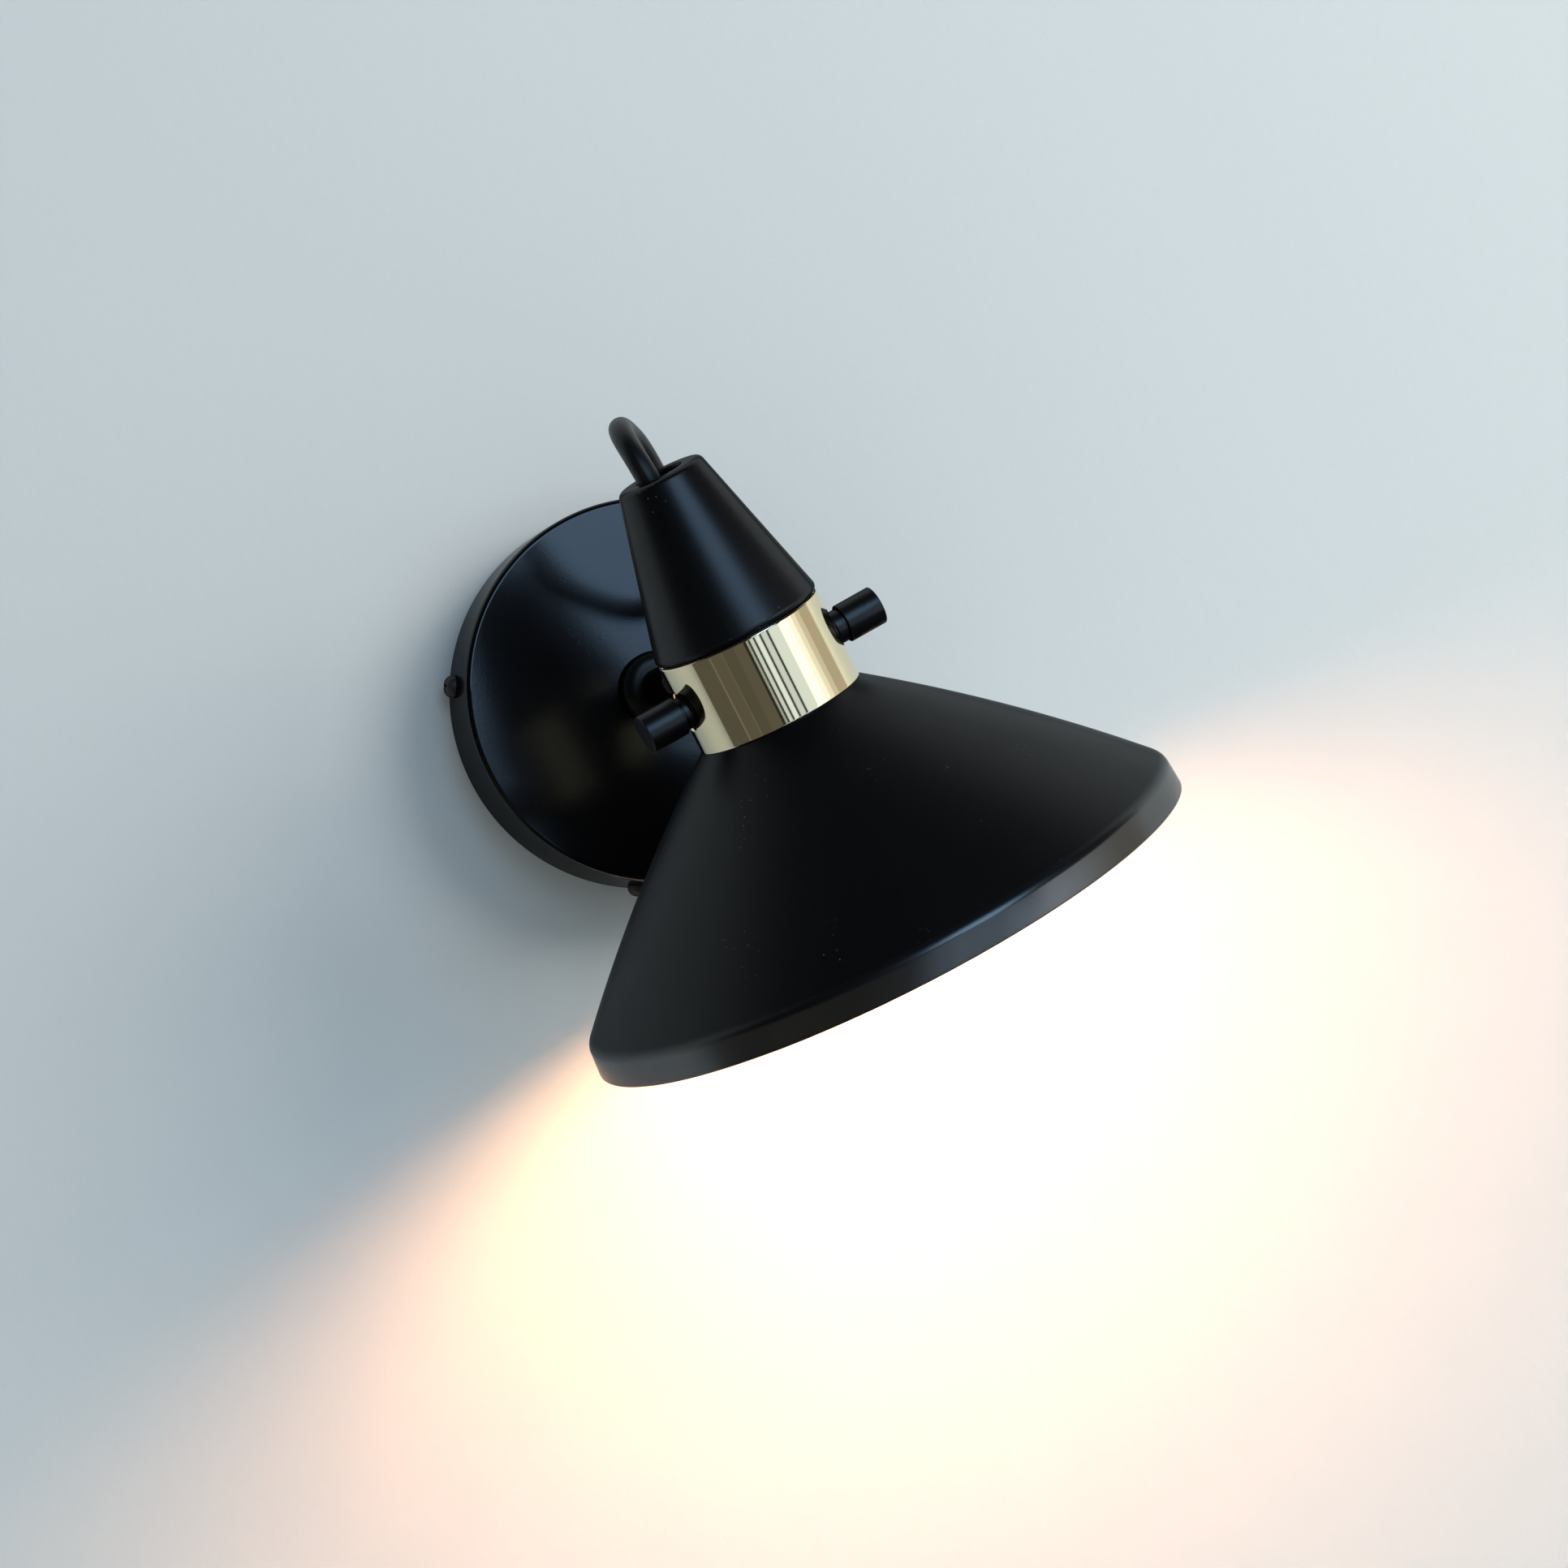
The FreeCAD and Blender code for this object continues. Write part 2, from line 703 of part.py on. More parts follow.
def ring(label, outer, inner, thickness, z, frame):
    """A flat washer."""
    return keep(
        cut(
            label, cylinder(label + "Blank", outer, thickness, z=z),
            cylinder(label + "Bore", inner, thickness, z=z)
        ), frame
    )


def swivel_washers():
    bore = "spigotRadius + runningGap"
    ring("friction_washer", "washerRadius", bore, "washerThickness", PLATE_FACE, PLATE)
    thrust = f"{PLATE_INNER} - runningGap - thrustThickness"
    ring("thrust_washer", "washerRadius", bore, "thrustThickness", thrust, SWIVEL)
    spring = f"{thrust} - springThickness"
    body = new_body("spring_washer")
    dish = new_sketch(body, "XZ_Plane", "springDish")
    rise = "springThickness / 2"
    draw_outline(
        dish,
        [
            (bore, f"{spring} + {rise}"), ("washerRadius - 1", spring),
            ("washerRadius - 1", f"{spring} + {rise}"), (bore, f"{spring} + springThickness"),
        ],
    )
    turn_round(body, dish)
    keep(body, SWIVEL)
    nut_top = spring
    nut = f"{nut_top} - swivelNutHeight"
    blank = hexagon("swivelNutBlank", "swivelNutFlats", "swivelNutHeight", z=nut)
    bore_tool = cylinder("swivelNutBore", "spigotRadius + threadGap", "swivelNutHeight", z=nut)
    keep(cut("swivel_nut", blank, bore_tool), SWIVEL)


def arm_hub():
    body = new_body("arm_hub")
    half = new_sketch(body, "XZ_Plane", "hubHalf")
    foot = f"{HUB_BASE} - spigotLength"
    seat = f"{HUB_TOP} - stemThreadLength - 0.5"
    bore = "stemThread + threadGap"
    draw_outline(
        half,
        [
            ("0", foot), ("spigotRadius", foot), ("spigotRadius", HUB_BASE), ("hubRadius", HUB_BASE),
            ("hubRadius", HUB_TOP), (bore, HUB_TOP), (bore, seat), ("0", seat),
        ],
    )
    solid = turn_round(body, half)
    dress(body, "Fillet", solid, circles_at(solid, HUB_TOP, "hubRadius"), "hubEdge")
    return keep(body, SWIVEL)


def arm_stem():
    rod = cylinder("stemRod", "stemRadius", f"{FORK_FOOT} - ({HUB_TOP})", z=HUB_TOP)
    ends = cylinder(
        "stemEnds", "stemThread", f"{FORK_FOOT} - ({HUB_TOP}) + 2 * stemThreadLength - 2",
        z=f"{HUB_TOP} - stemThreadLength"
    )
    return keep(joined("arm_stem", rod, ends), SWIVEL)


def arm_fork():
    foot = cylinder("forkFootBlank", "forkRadius - 0.4", "forkLength", z=FORK_FOOT)
    knuckle = cylinder(
        "forkKnuckle", "forkRadius", "2 * forkRadius", "-forkRadius", "0", "hingeFromWall", along="x"
    )
    whole = joined("forkWhole", foot, knuckle)
    slot = block(
        "forkSlot", "forkGap", "4 * forkRadius", "forkFloor + 2 * forkRadius", "0", "0",
        "hingeFromWall - forkFloor"
    )
    thread = cylinder("forkThread", "stemThread + threadGap", "stemThreadLength - 2 + 0.3", z=FORK_FOOT)
    hole = cylinder(
        "forkHole", "hingeScrewRadius + threadGap", "4 * forkRadius", "-2 * forkRadius", "0",
        "hingeFromWall", along="x"
    )
    return keep(cut("arm_fork", whole, slot, thread, hole), SWIVEL)


def hinge_hardware():
    height = "hingeFromWall"
    head = cylinder("hingeHead", "hingeHeadRadius", "hingeHeadHeight", "forkRadius", "0", height, along="x")
    doc.recompute()
    dome = rounded(
        "hingeDome", head, "forkRadius + hingeHeadHeight", "hingeHeadRadius", "hingeHeadHeight * 0.6",
        axis="x"
    )
    length = "2 * forkRadius + hingeNutHeight + 1"
    shank = cylinder(
        "hingeShank", "hingeScrewRadius", length, f"forkRadius - ({length})", "0", height, along="x"
    )
    whole = joined("hingeScrewWhole", dome, shank)
    socket = hexagon("hingeSocket", "3", "2", "forkRadius + hingeHeadHeight - 1.6", "0", height, along="x")
    keep(cut("hinge_screw", whole, socket), SWIVEL)
    start = "-forkRadius - hingeNutHeight"
    nut = hexagon("hingeNutBlank", "hingeNutFlats", "hingeNutHeight", start, "0", height, along="x")
    bore = cylinder(
        "hingeNutBore", "hingeScrewRadius + threadGap", "hingeNutHeight", start, "0", height, along="x"
    )
    keep(cut("hinge_nut", nut, bore), SWIVEL)
    discs = []
    for name, start in (("Near", "forkGap / 2 - hingeWasherThickness"), ("Far", "-forkGap / 2")):
        disc = cylinder(
            "hingeDisc" + name, "hingeWasherRadius", "hingeWasherThickness", start, "0", height, along="x"
        )
        hole = cylinder(
            "hingeDiscBore" + name, "hingeScrewRadius + threadGap", "hingeWasherThickness", start, "0",
            height, along="x"
        )
        discs.append(cut("hingeDiscRing" + name, disc, hole))
    washers = doc.addObject("Part::Compound", "hinge_washers")
    washers.Links = discs
    washers.Label = "hinge_washers"
    doc.recompute()
    return keep(washers, SWIVEL)


# neck and collar


def head_neck():
    """Drawn from the hinge, z towards the head's axis: tongue, rod, saddle flange and thread."""
    thick = "forkGap - 2 * hingeWasherThickness - 2 * runningGap"
    eye = cylinder("neckEye", "tongueRadius", thick, f"-({thick}) / 2", "0", "0", along="x")
    web = block("neckWeb", thick, "2 * neckRadius", "tongueLength", "0", "0", "0")
    rod = cylinder("neckRod", "neckRadius", f"{NECK_FACE} - 9 + 2", z="9")
    flange = cylinder(
        "neckFlange", "neckFlangeRadius", "neckFlangeHeight + 2", z=f"{NECK_FACE} - neckFlangeHeight"
    )
    solid = joined("neckSolid", eye, web, rod, flange)
    drum = cylinder(
        "neckDrum", "collarRadius", "4 * neckFlangeRadius", "0", "-2 * neckFlangeRadius", "neckReach",
        along="y"
    )
    hole = cylinder(
        "neckHole", "hingeScrewRadius + runningGap", f"({thick}) + 2", f"-({thick}) / 2 - 1", along="x"
    )
    saddle = cut("neckSaddle", solid, drum, hole)
    tail = cylinder(
        "neckTail", "neckThread", "collarWall + neckNutHeight + 3.6", z=f"{NECK_FACE} - 2"
    )
    return keep(joined("head_neck", saddle, tail), HINGE)


def neck_nut():
    """Sits inside the collar, its corners just clear of the bore."""
    corner = "neckNutFlats / sqrt(3)"
    start = f"neckReach - sqrt(pow({COLLAR_BORE}; 2) - pow({corner}; 2)) + 0.05"
    blank = hexagon("neckNutBlank", "neckNutFlats", "neckNutHeight", z=start)
    bore = cylinder("neckNutBore", "neckThread + threadGap", "neckNutHeight", z=start)
    return keep(cut("neck_nut", blank, bore), HINGE)


def collar():
    body = new_body("collar")
    tube = new_sketch(body, "XY_Plane", "collarTube")
    draw_circle(tube, "collarRadius")
    draw_circle(tube, COLLAR_BORE)
    solid = pad(body, tube, "collarHeight", midplane=True)
    ends = circles_at(solid, COLLAR_TOP, "collarRadius") + circles_at(solid, COLLAR_FOOT, "collarRadius")
    dress(body, "Chamfer", solid, ends, "collarEdge")
    pins = new_sketch(body, "YZ_Plane", "collarPinHoles")
    draw_circle(pins, "pinHoleRadius")
    cut_volume(body, pins, "2 * collarRadius + 2", midplane=True)
    back = new_sketch(body, "XZ_Plane", "collarNeckHole")
    draw_circle(back, "neckThread + threadGap")
    feature = cut_volume(body, back, "collarRadius + 1")
    if feature.Shape.isInside(Vector(0, value("collarRadius") - 1, 0), 1e-3, True):
        feature.Reversed = not feature.Reversed
        doc.recompute()
    return keep(body, HEAD)


def cap():
    """A cone of even wall with a short straight bore at its foot, and a hole for the flex on top."""
    body = new_body("cap")
    half = new_sketch(body, "XZ_Plane", "capHalf")
    slope = f"({CAP_FOOT_RADIUS} - capTopRadius) / capHeight"
    level = f"capWall * sqrt(1 + pow({slope}; 2))"
    bore = f"{COLLAR_BORE} + capBoreGap"
    under = f"{CAP_TOP} - capWall"
    # the foot's rounding takes at most the width of the wall there
    room = f"0.999 * ({CAP_FOOT_RADIUS} - ({bore})) * (sqrt(1 + pow({slope}; 2)) - {slope})"
    draw_outline(
        half,
        [
            (bore, COLLAR_TOP), (CAP_FOOT_RADIUS, COLLAR_TOP), ("capTopRadius", CAP_TOP),
            ("capHoleRadius", CAP_TOP),
            ("capHoleRadius", under), (f"capTopRadius + {slope} * capWall - {level}", under),
            (bore, f"{COLLAR_TOP} + ({CAP_FOOT_RADIUS} - {level} - ({bore})) / ({slope})"),
        ],
    )
    solid = turn_round(body, half)
    top = dress(body, "Fillet", solid, circles_at(solid, CAP_TOP, "capTopRadius"), "capTopEdge")
    rim = circles_at(top, COLLAR_TOP, CAP_FOOT_RADIUS)
    foot = dress(body, "Fillet", top, rim, f"min(capBottomEdge; {room})")
    dress(body, "Fillet", foot, circles_at(foot, CAP_TOP, "capHoleRadius"), "capHoleLip")
    return keep(body, HEAD)


# lampholder and bulb


def carrier_ring():
    """A pressed dish that centres the cap on the collar and carries the threaded tube."""
    body = new_body("carrier_ring")
    half = new_sketch(body, "XZ_Plane", "carrierHalf")
    outer = f"{COLLAR_BORE} - slideGap"
    wall = f"{outer} - carrierWall"
    top = f"{CARRIER_BASE} + carrierHeight"
    bore = "tubeRadius + threadGap"
    draw_outline(
        half,
        [
            (bore, CARRIER_BASE), (outer, CARRIER_BASE), (outer, top), (wall, top), (wall, CARRIER_FLOOR),
            (bore, CARRIER_FLOOR),
        ],
    )
    turn_round(body, half)
    return keep(body, HEAD)


def threaded_tube():
    outer = cylinder("tubeOuter", "tubeRadius", "tubeLength", z=TUBE_FOOT)
    return keep(
        cut("threaded_tube", outer, cylinder("tubeBoreTool", "tubeBore", "tubeLength", z=TUBE_FOOT)), HEAD
    )


def tube_nut():
    blank = hexagon("tubeNutBlank", "tubeNutFlats", "tubeNutHeight", z=CARRIER_FLOOR)
    bore = cylinder("tubeNutBore", "tubeRadius + threadGap", "tubeNutHeight", z=CARRIER_FLOOR)
    return keep(cut("tube_nut", blank, bore), HEAD)


def cord_grip():
    outer = cylinder("gripOuter", "gripRadius", "gripHeight", z=GRIP_BASE)
    seat = cylinder("gripSeat", "tubeRadius + threadGap", "gripOverlap", z=GRIP_BASE)
    bore = cylinder("gripBore", "cordRadius + runningGap", "gripHeight", z=GRIP_BASE)
    side = cylinder(
        "gripSide", "gripScrewRadius + threadGap", "gripRadius + 1", "0", "0", f"{GRIP_TOP} - 4.5",
        along="y"
    )
    return keep(cut("cord_grip", outer, seat, bore, side), HEAD)


def grip_screw():
    start = "cordRadius + runningGap"
    rod = cylinder(
        "gripScrewRod", "gripScrewRadius", "gripScrewLength", "0", start, f"{GRIP_TOP} - 4.5", along="y"
    )
    slot = block(
        "gripScrewSlot", "4", "0.8", "0.6", "0", f"{start} + gripScrewLength", f"{GRIP_TOP} - 4.8"
    )
    return keep(cut("grip_screw", rod, slot), HEAD)


def lampholder_body():
    body = new_body("lampholder_body")
    half = new_sketch(body, "XZ_Plane", "holderHalf")
    bore = "tubeRadius + threadGap"
    seat = f"{HOLDER_TOP} - holderFloor + 1"
    draw_outline(
        half,
        [
            (bore, HOLDER_TOP), (HOLDER_RADIUS, HOLDER_TOP), (HOLDER_RADIUS, HOLDER_FOOT),
            ("holderBore", HOLDER_FOOT),
            ("holderBore", CONTACT_TOP), ("0", CONTACT_TOP), ("0", seat), (bore, seat),
        ],
    )
    solid = turn_round(body, half)
    rims = circles_at(solid, HOLDER_TOP, HOLDER_RADIUS) + circles_at(solid, HOLDER_FOOT, HOLDER_RADIUS)
    dress(body, "Chamfer", solid, rims, "holderEdge")
    return keep(body, HEAD)


def lampholder_shell():
    top = f"{CONTACT_TOP} - 1.5"
    foot = f"{top} - shellHeight"
    outer = cylinder("shellOuter", "shellRadius", "shellHeight", z=foot)
    return keep(
        cut(
            "lampholder_shell", outer,
            cylinder("shellBore", "shellRadius - shellWall", "shellHeight", z=foot)
        ),
        HEAD
    )


def lampholder_contact():
    button = cylinder("contactButton", "contactRadius", "contactHeight", z=BULB_TOP)
    arm = block("contactArm", "2 * shellRadius - 4", "4", "0.6", "0", "0", f"{CONTACT_TOP} - 0.6")
    return keep(joined("lampholder_contact", button, arm), HEAD)


def bulb_cap():
    """The screw cap, with its rounded thread, and the contact button on top."""
    body = new_body("bulb_cap")
    half = new_sketch(body, "XZ_Plane", "bulbCapHalf")
    shoulder = f"{BULB_TOP} - bulbTipHeight"
    thread = []
    pitch = "3.6"
    turns = 4
    for turn in range(turns):
        high = f"{shoulder} - 2 - {turn} * {pitch}"
        thread.append(("bulbCapRadius - 0.9", high))
        thread.append(("bulbCapRadius", f"{high} - {pitch} / 2"))
    thread.append(("bulbCapRadius - 0.9", f"{shoulder} - 2 - {turns} * {pitch}"))
    outline = [("0", BULB_CAP_FOOT), ("bulbCapRadius", BULB_CAP_FOOT)]
    outline += list(reversed(thread))
    outline += [("bulbTipRadius + 1", shoulder), ("bulbTipRadius", BULB_TOP), ("0", BULB_TOP)]
    draw_outline(half, outline)
    turn_round(body, half)
    return keep(body, HEAD)


def bulb_globe():
    """A ball that tapers up to the screw cap, hollow, its wall closed on the cap."""
    body = new_body("bulb_globe")
    half = new_sketch(body, "XZ_Plane", "globeHalf")
    tip = f"{BULB_CAP_FOOT} - globeLength"
    centre = f"{tip} + globeRadius"
    neck = "bulbCapRadius - 0.3"
    side = "globeRadius * 0.906"
    rise = "globeRadius * 0.423"
    hole_tip = f"{tip} + globeWall"
    draw_outline(
        half,
        [
            ("0", hole_tip), ("0", tip), ("globeRadius", centre), (side, f"{centre} + {rise}"),
            (neck, BULB_CAP_FOOT), (f"{neck} - globeWall", BULB_CAP_FOOT),
            (f"{side} - globeWall", f"{centre} + {rise}"), ("globeRadius - globeWall", centre),
        ],
        {1: "-globeRadius", 7: "globeRadius - globeWall"},
    )
    turn_round(body, half)
    return keep(body, HEAD)


# shade, sleeve and thumb screws


def inner_sleeve():
    """A tube that slides up inside the collar, open at the back to pass the neck's nut, with a nut
    for each thumb screw and a flange that carries the shade."""
    body = new_body("inner_sleeve")
    half = new_sketch(body, "XZ_Plane", "sleeveHalf")
    seat = f"{SHADE_TOP} - shadeWall"
    foot = f"{seat} - sleeveFlangeHeight"
    lip = f"{SLEEVE_RADIUS} + sleeveFlange"
    draw_outline(
        half,
        [
            (SLEEVE_BORE, foot), (lip, foot), (lip, seat), (SLEEVE_RADIUS, seat),
            (SLEEVE_RADIUS, "sleeveTop"), (SLEEVE_BORE, "sleeveTop"),
        ],
    )
    turn_round(body, half)
    nut = new_sketch(body, "YZ_Plane", "sleeveNuts")
    draw_circle(nut, "sleeveNutRadius")
    pad(body, nut, f"2 * ({SLEEVE_BORE} + 0.5)", midplane=True)
    clear = new_sketch(body, "YZ_Plane", "sleeveClear")
    draw_circle(clear, "sleeveNutRadius + 1")
    cut_volume(body, clear, f"2 * ({SLEEVE_BORE} - sleeveNutThickness)", midplane=True)
    bore = new_sketch(body, "YZ_Plane", "sleeveThread")
    draw_circle(bore, "pinThread + runningGap")
    cut_volume(body, bore, "2 * collarRadius", midplane=True)
    slot = new_sketch(body, "XZ_Plane", "sleeveSlot")
    draw_rectangle(
        slot, "-sleeveSlotWidth / 2", "sleeveTop - sleeveSlotDepth", "sleeveSlotWidth / 2",
        "sleeveTop + 1"
    )
    feature = cut_volume(body, slot, "collarRadius")
    if feature.Shape.isInside(Vector(0, value(SLEEVE_RADIUS) - 0.5, value("sleeveTop") - 1), 1e-3, True):
        feature.Reversed = not feature.Reversed
        doc.recompute()
    return keep(body, HEAD)


def shade():
    body = new_body("shade")
    half = new_sketch(body, "XZ_Plane", "shadeHalf")
    crease_radius = "shadeRadius - shadeRimFlare"
    chord = f"sqrt(pow({crease_radius} - ({SHOULDER_RADIUS}); 2) + pow(shadeDrop; 2))"
    bell = f"(pow({chord} / 2; 2) + pow(shadeBulge; 2)) / (2 * shadeBulge)"
    draw_outline(
        half,
        [
            ("0", SHADE_TOP), ("0", MOUTH), ("shadeRadius", MOUTH), (crease_radius, CREASE),
            (SHOULDER_RADIUS, SHADE_TOP),
        ],
        {3: f"-({bell})"},
    )
    solid = turn_round(body, half)
    crease = dress(body, "Fillet", solid, circles_at(solid, CREASE, crease_radius), "shadeCrease")
    hollow(body, crease, MOUTH, "shadeWall")
    hole = new_sketch(body, "XY_Plane", "shadeHole")
    draw_circle(hole, f"{SLEEVE_RADIUS} + runningGap")
    cut_volume(body, hole)
    return keep(body, HEAD)


def thumb_screw(label, turn, drive):
    """A plain round knob, a groove, a shoulder that stands in the collar's hole, and the thread.  The
    drive is how far the screw stands out beyond the middle of its travel."""
    body = new_body(label)
    half = new_sketch(body, "XZ_Plane", label.replace("_", "") + "Half")
    end = f"{KNOB_END} + {drive}"
    inner = f"{end} - knobLength"
    groove = f"{inner} - grooveWidth"
    shoulder = f"{groove} - shoulderLength"
    tip = f"{PIN_TIP} + {drive}"
    draw_outline(
        half,
        [
            ("0", tip), ("pinThread", tip), ("pinThread", shoulder), ("shoulderRadius", shoulder),
            ("shoulderRadius", groove), ("grooveRadius", groove), ("grooveRadius", inner),
            ("knobRadius", inner), ("knobRadius", end), ("0", end),
        ],
    )
    solid = turn_round(body, half)
    rims = circles_at(solid, end, "knobRadius") + circles_at(solid, inner, "knobRadius")
    dress(body, "Fillet", solid, rims, "knobEdge")
    return keep(body, HEAD * Placement(Vector(0, 0, 0), Rotation(Vector(0, 1, 0), turn)))


# flex


def corner_radius(before, corner, after):
    """The largest arc that the two runs at a corner leave room for."""
    incoming, outgoing = corner - before, after - corner
    turn = incoming.getAngle(outgoing)
    return 0.45 * min(incoming.Length, outgoing.Length) / math.tan(turn / 2)


def tube_along(label, points, radius):
    """A round tube along straight runs joined by tangent arcs."""
    edges = []
    start = points[0]
    radii = []
    for before, corner, after in zip(points, points[1:], points[2:]):
        arc_radius = corner_radius(before, corner, after)
        incoming = (corner - before).normalize()
        outgoing = (after - corner).normalize()
        turn = incoming.getAngle(outgoing)
        back = arc_radius * math.tan(turn / 2)
        enter, leave = corner - incoming * back, corner + outgoing * back
        inward = (outgoing - incoming).normalize()
        middle = corner + inward * (arc_radius / math.cos(turn / 2) - arc_radius)
        edges.append(Part.LineSegment(start, enter).toShape())
        edges.append(Part.Arc(enter, middle, leave).toShape())
        start = leave
        radii.append(round(arc_radius, 1))
    edges.append(Part.LineSegment(start, points[-1]).toShape())
    path = Part.Wire(edges)
    section = Part.Wire([Part.makeCircle(radius, points[0], points[1] - points[0])])
    tube = path.makePipeShell([section], True, False)
    expected = math.pi * radius**2 * path.Length
    print(
        label, "radii", radii, "length", round(path.Length, 1), "volume share",
        round(tube.Volume / expected, 4)
    )
    flex = doc.addObject("Part::Feature", label)
    flex.Label = label
    flex.Shape = tube
    nodes[label] = flex
    return flex


def flex():
    """The flex rises out of the cap, turns over towards the wall and comes down behind the cap to the
    plate.  Its two lengths meet above the hinge.  Points are in the row frame."""
    top = value(CAP_TOP)
    grip = value(GRIP_TOP)
    lift = top + value("loopRise")
    half = value("loopRadius")
    side = half * math.tan(math.pi / 8)
    hole = PLATE.multVec(Vector(value("plateHoleX"), value("plateHoleY"), value(PLATE_FACE)))
    hinge = Vector(0, -value("hingeFromWall"), 0)
    joint = hinge + Vector(-2.1, -3, 33.7)
    above = joint + Vector(-9.3, -22, 6.2)
    upper = [
        HEAD.multVec(Vector(0, 0, grip - 9)),
        HEAD.multVec(Vector(0, 0, grip + 7)),
        HEAD.multVec(Vector(-3.0, 0.6, top - 8)),
        HEAD.multVec(Vector(-3.8, 0, lift - half + side)),
        HEAD.multVec(Vector(-2.0, half - side, lift)),
        HEAD.multVec(Vector(3.1, half + side, lift)),
        HEAD.multVec(Vector(8.9, 2 * half, lift - half + side)),
        above,
        joint,
    ]
    lower = [
        hole + Vector(0, 10, 0),
        hole + Vector(0, -8, 0),
        hole + Vector(-1.9, -26.8, -6.4),
        joint + (joint - above).normalize() * 18,
        joint,
    ]
    tube_along("cord_upper", upper, value("cordRadius"))
    tube_along("cord_lower", lower, value("cordRadius"))


def build():
    wall_plate()
    mounting_bracket()
    rim_screws()
    terminal_block()
    terminal_screws()
    earth_screw()
    plate_grommet()
    swivel_washers()
    arm_hub()
    arm_stem()
    arm_fork()
    hinge_hardware()
    head_neck()
    neck_nut()
    collar()
    cap()
    carrier_ring()
    threaded_tube()
    tube_nut()
    cord_grip()
    grip_screw()
    lampholder_body()
    lampholder_shell()
    lampholder_contact()
    bulb_cap()
    bulb_globe()
    inner_sleeve()
    shade()
    thumb_screw("thumb_screw_right", 90, "rightDrive")
    thumb_screw("thumb_screw_left", -90, "leftDrive")
    flex()


def check():
    """Stops before anything is written if an object failed or a piece is not sound."""
    doc.recompute()
    for thing in doc.Objects:
        if "Invalid" in thing.State or "Error" in thing.State:
            raise RuntimeError(f"{thing.Name} failed: {thing.State}")
    for label, thing in nodes.items():
        if thing.Shape.isNull() or not thing.Shape.isValid():
            raise RuntimeError(f"{label} is not a sound shape")
        if thing.Shape.Volume <= 0:
            raise RuntimeError(f"{label} has no volume")


build()
check()
os.makedirs("parts", exist_ok=True)
for label, thing in nodes.items():
    thing.Shape.exportStep(f"parts/{label}.step")
print(len(nodes), "nodes")
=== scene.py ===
import json
import math
import bpy
import numpy as np
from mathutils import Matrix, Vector


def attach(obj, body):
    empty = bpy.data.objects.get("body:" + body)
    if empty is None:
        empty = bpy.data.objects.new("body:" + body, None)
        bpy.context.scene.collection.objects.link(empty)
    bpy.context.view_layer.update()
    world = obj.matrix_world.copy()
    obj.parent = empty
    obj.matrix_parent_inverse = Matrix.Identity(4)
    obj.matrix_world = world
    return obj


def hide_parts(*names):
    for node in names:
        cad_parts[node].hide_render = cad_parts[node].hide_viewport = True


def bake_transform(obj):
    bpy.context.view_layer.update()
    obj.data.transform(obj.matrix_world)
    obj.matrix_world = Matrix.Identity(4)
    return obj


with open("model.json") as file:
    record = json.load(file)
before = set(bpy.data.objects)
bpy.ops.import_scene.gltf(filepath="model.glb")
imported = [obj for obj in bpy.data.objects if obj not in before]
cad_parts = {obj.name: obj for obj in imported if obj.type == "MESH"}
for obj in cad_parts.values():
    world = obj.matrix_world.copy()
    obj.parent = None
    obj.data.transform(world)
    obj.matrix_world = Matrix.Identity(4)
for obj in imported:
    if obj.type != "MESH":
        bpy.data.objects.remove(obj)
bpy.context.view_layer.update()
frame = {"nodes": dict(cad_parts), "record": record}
nodes = frame["nodes"]
print("stage 1: frame loaded,", len(nodes), "nodes")

# How the head stands: turned about the wall's normal and tilted on its hinge, in degrees, with the
# hinge's distance from the wall and the head's distance from the hinge in metres.
stand = {"turn": 30, "tilt": 8, "hinge": 0.087, "neck": 0.062}

headTurn = math.radians(stand["turn"])
headTilt = math.radians(stand["tilt"])
wallOut = np.array([0.0, -1.0, 0.0])
armUp = np.array([-math.sin(headTurn), 0.0, math.cos(headTurn)])
pinWay = np.array([math.cos(headTurn), 0.0, math.sin(headTurn)])  # along the thumb screws
headUp = math.cos(headTilt) * armUp + math.sin(headTilt) * wallOut  # from the mouth to the cap
headBack = np.cross(headUp, pinWay)  # towards the wall
neckWay = math.cos(headTilt) * wallOut - math.sin(headTilt) * armUp
headCentre = stand["hinge"] * wallOut + stand["neck"] * neckWay  # the collar's middle

# The head's pieces are drawn in its own space: an origin and three directions, in metres.
headSpace = (headCentre, pinWay, headBack, headUp)


def inSpace(space, local):
    # Points given in a space's own three directions, in metres of the row frame.
    origin, first, second, third = space
    local = np.asarray(local, float)
    return origin + local[..., 0:1] * first + local[..., 1:2] * second + local[..., 2:3] * third


def gridFaces(rows, around, closed=False):
    # The four-sided faces of a grid whose last column joins its first one, row after row.
    row = np.arange(rows if closed else rows - 1)[:, None]
    column = np.arange(around)[None]
    after, side = (row + 1) % rows, (column + 1) % around
    return np.stack([
        row * around + column, row * around + side, after * around + side, after * around + column
    ], -1).reshape(-1, 4)


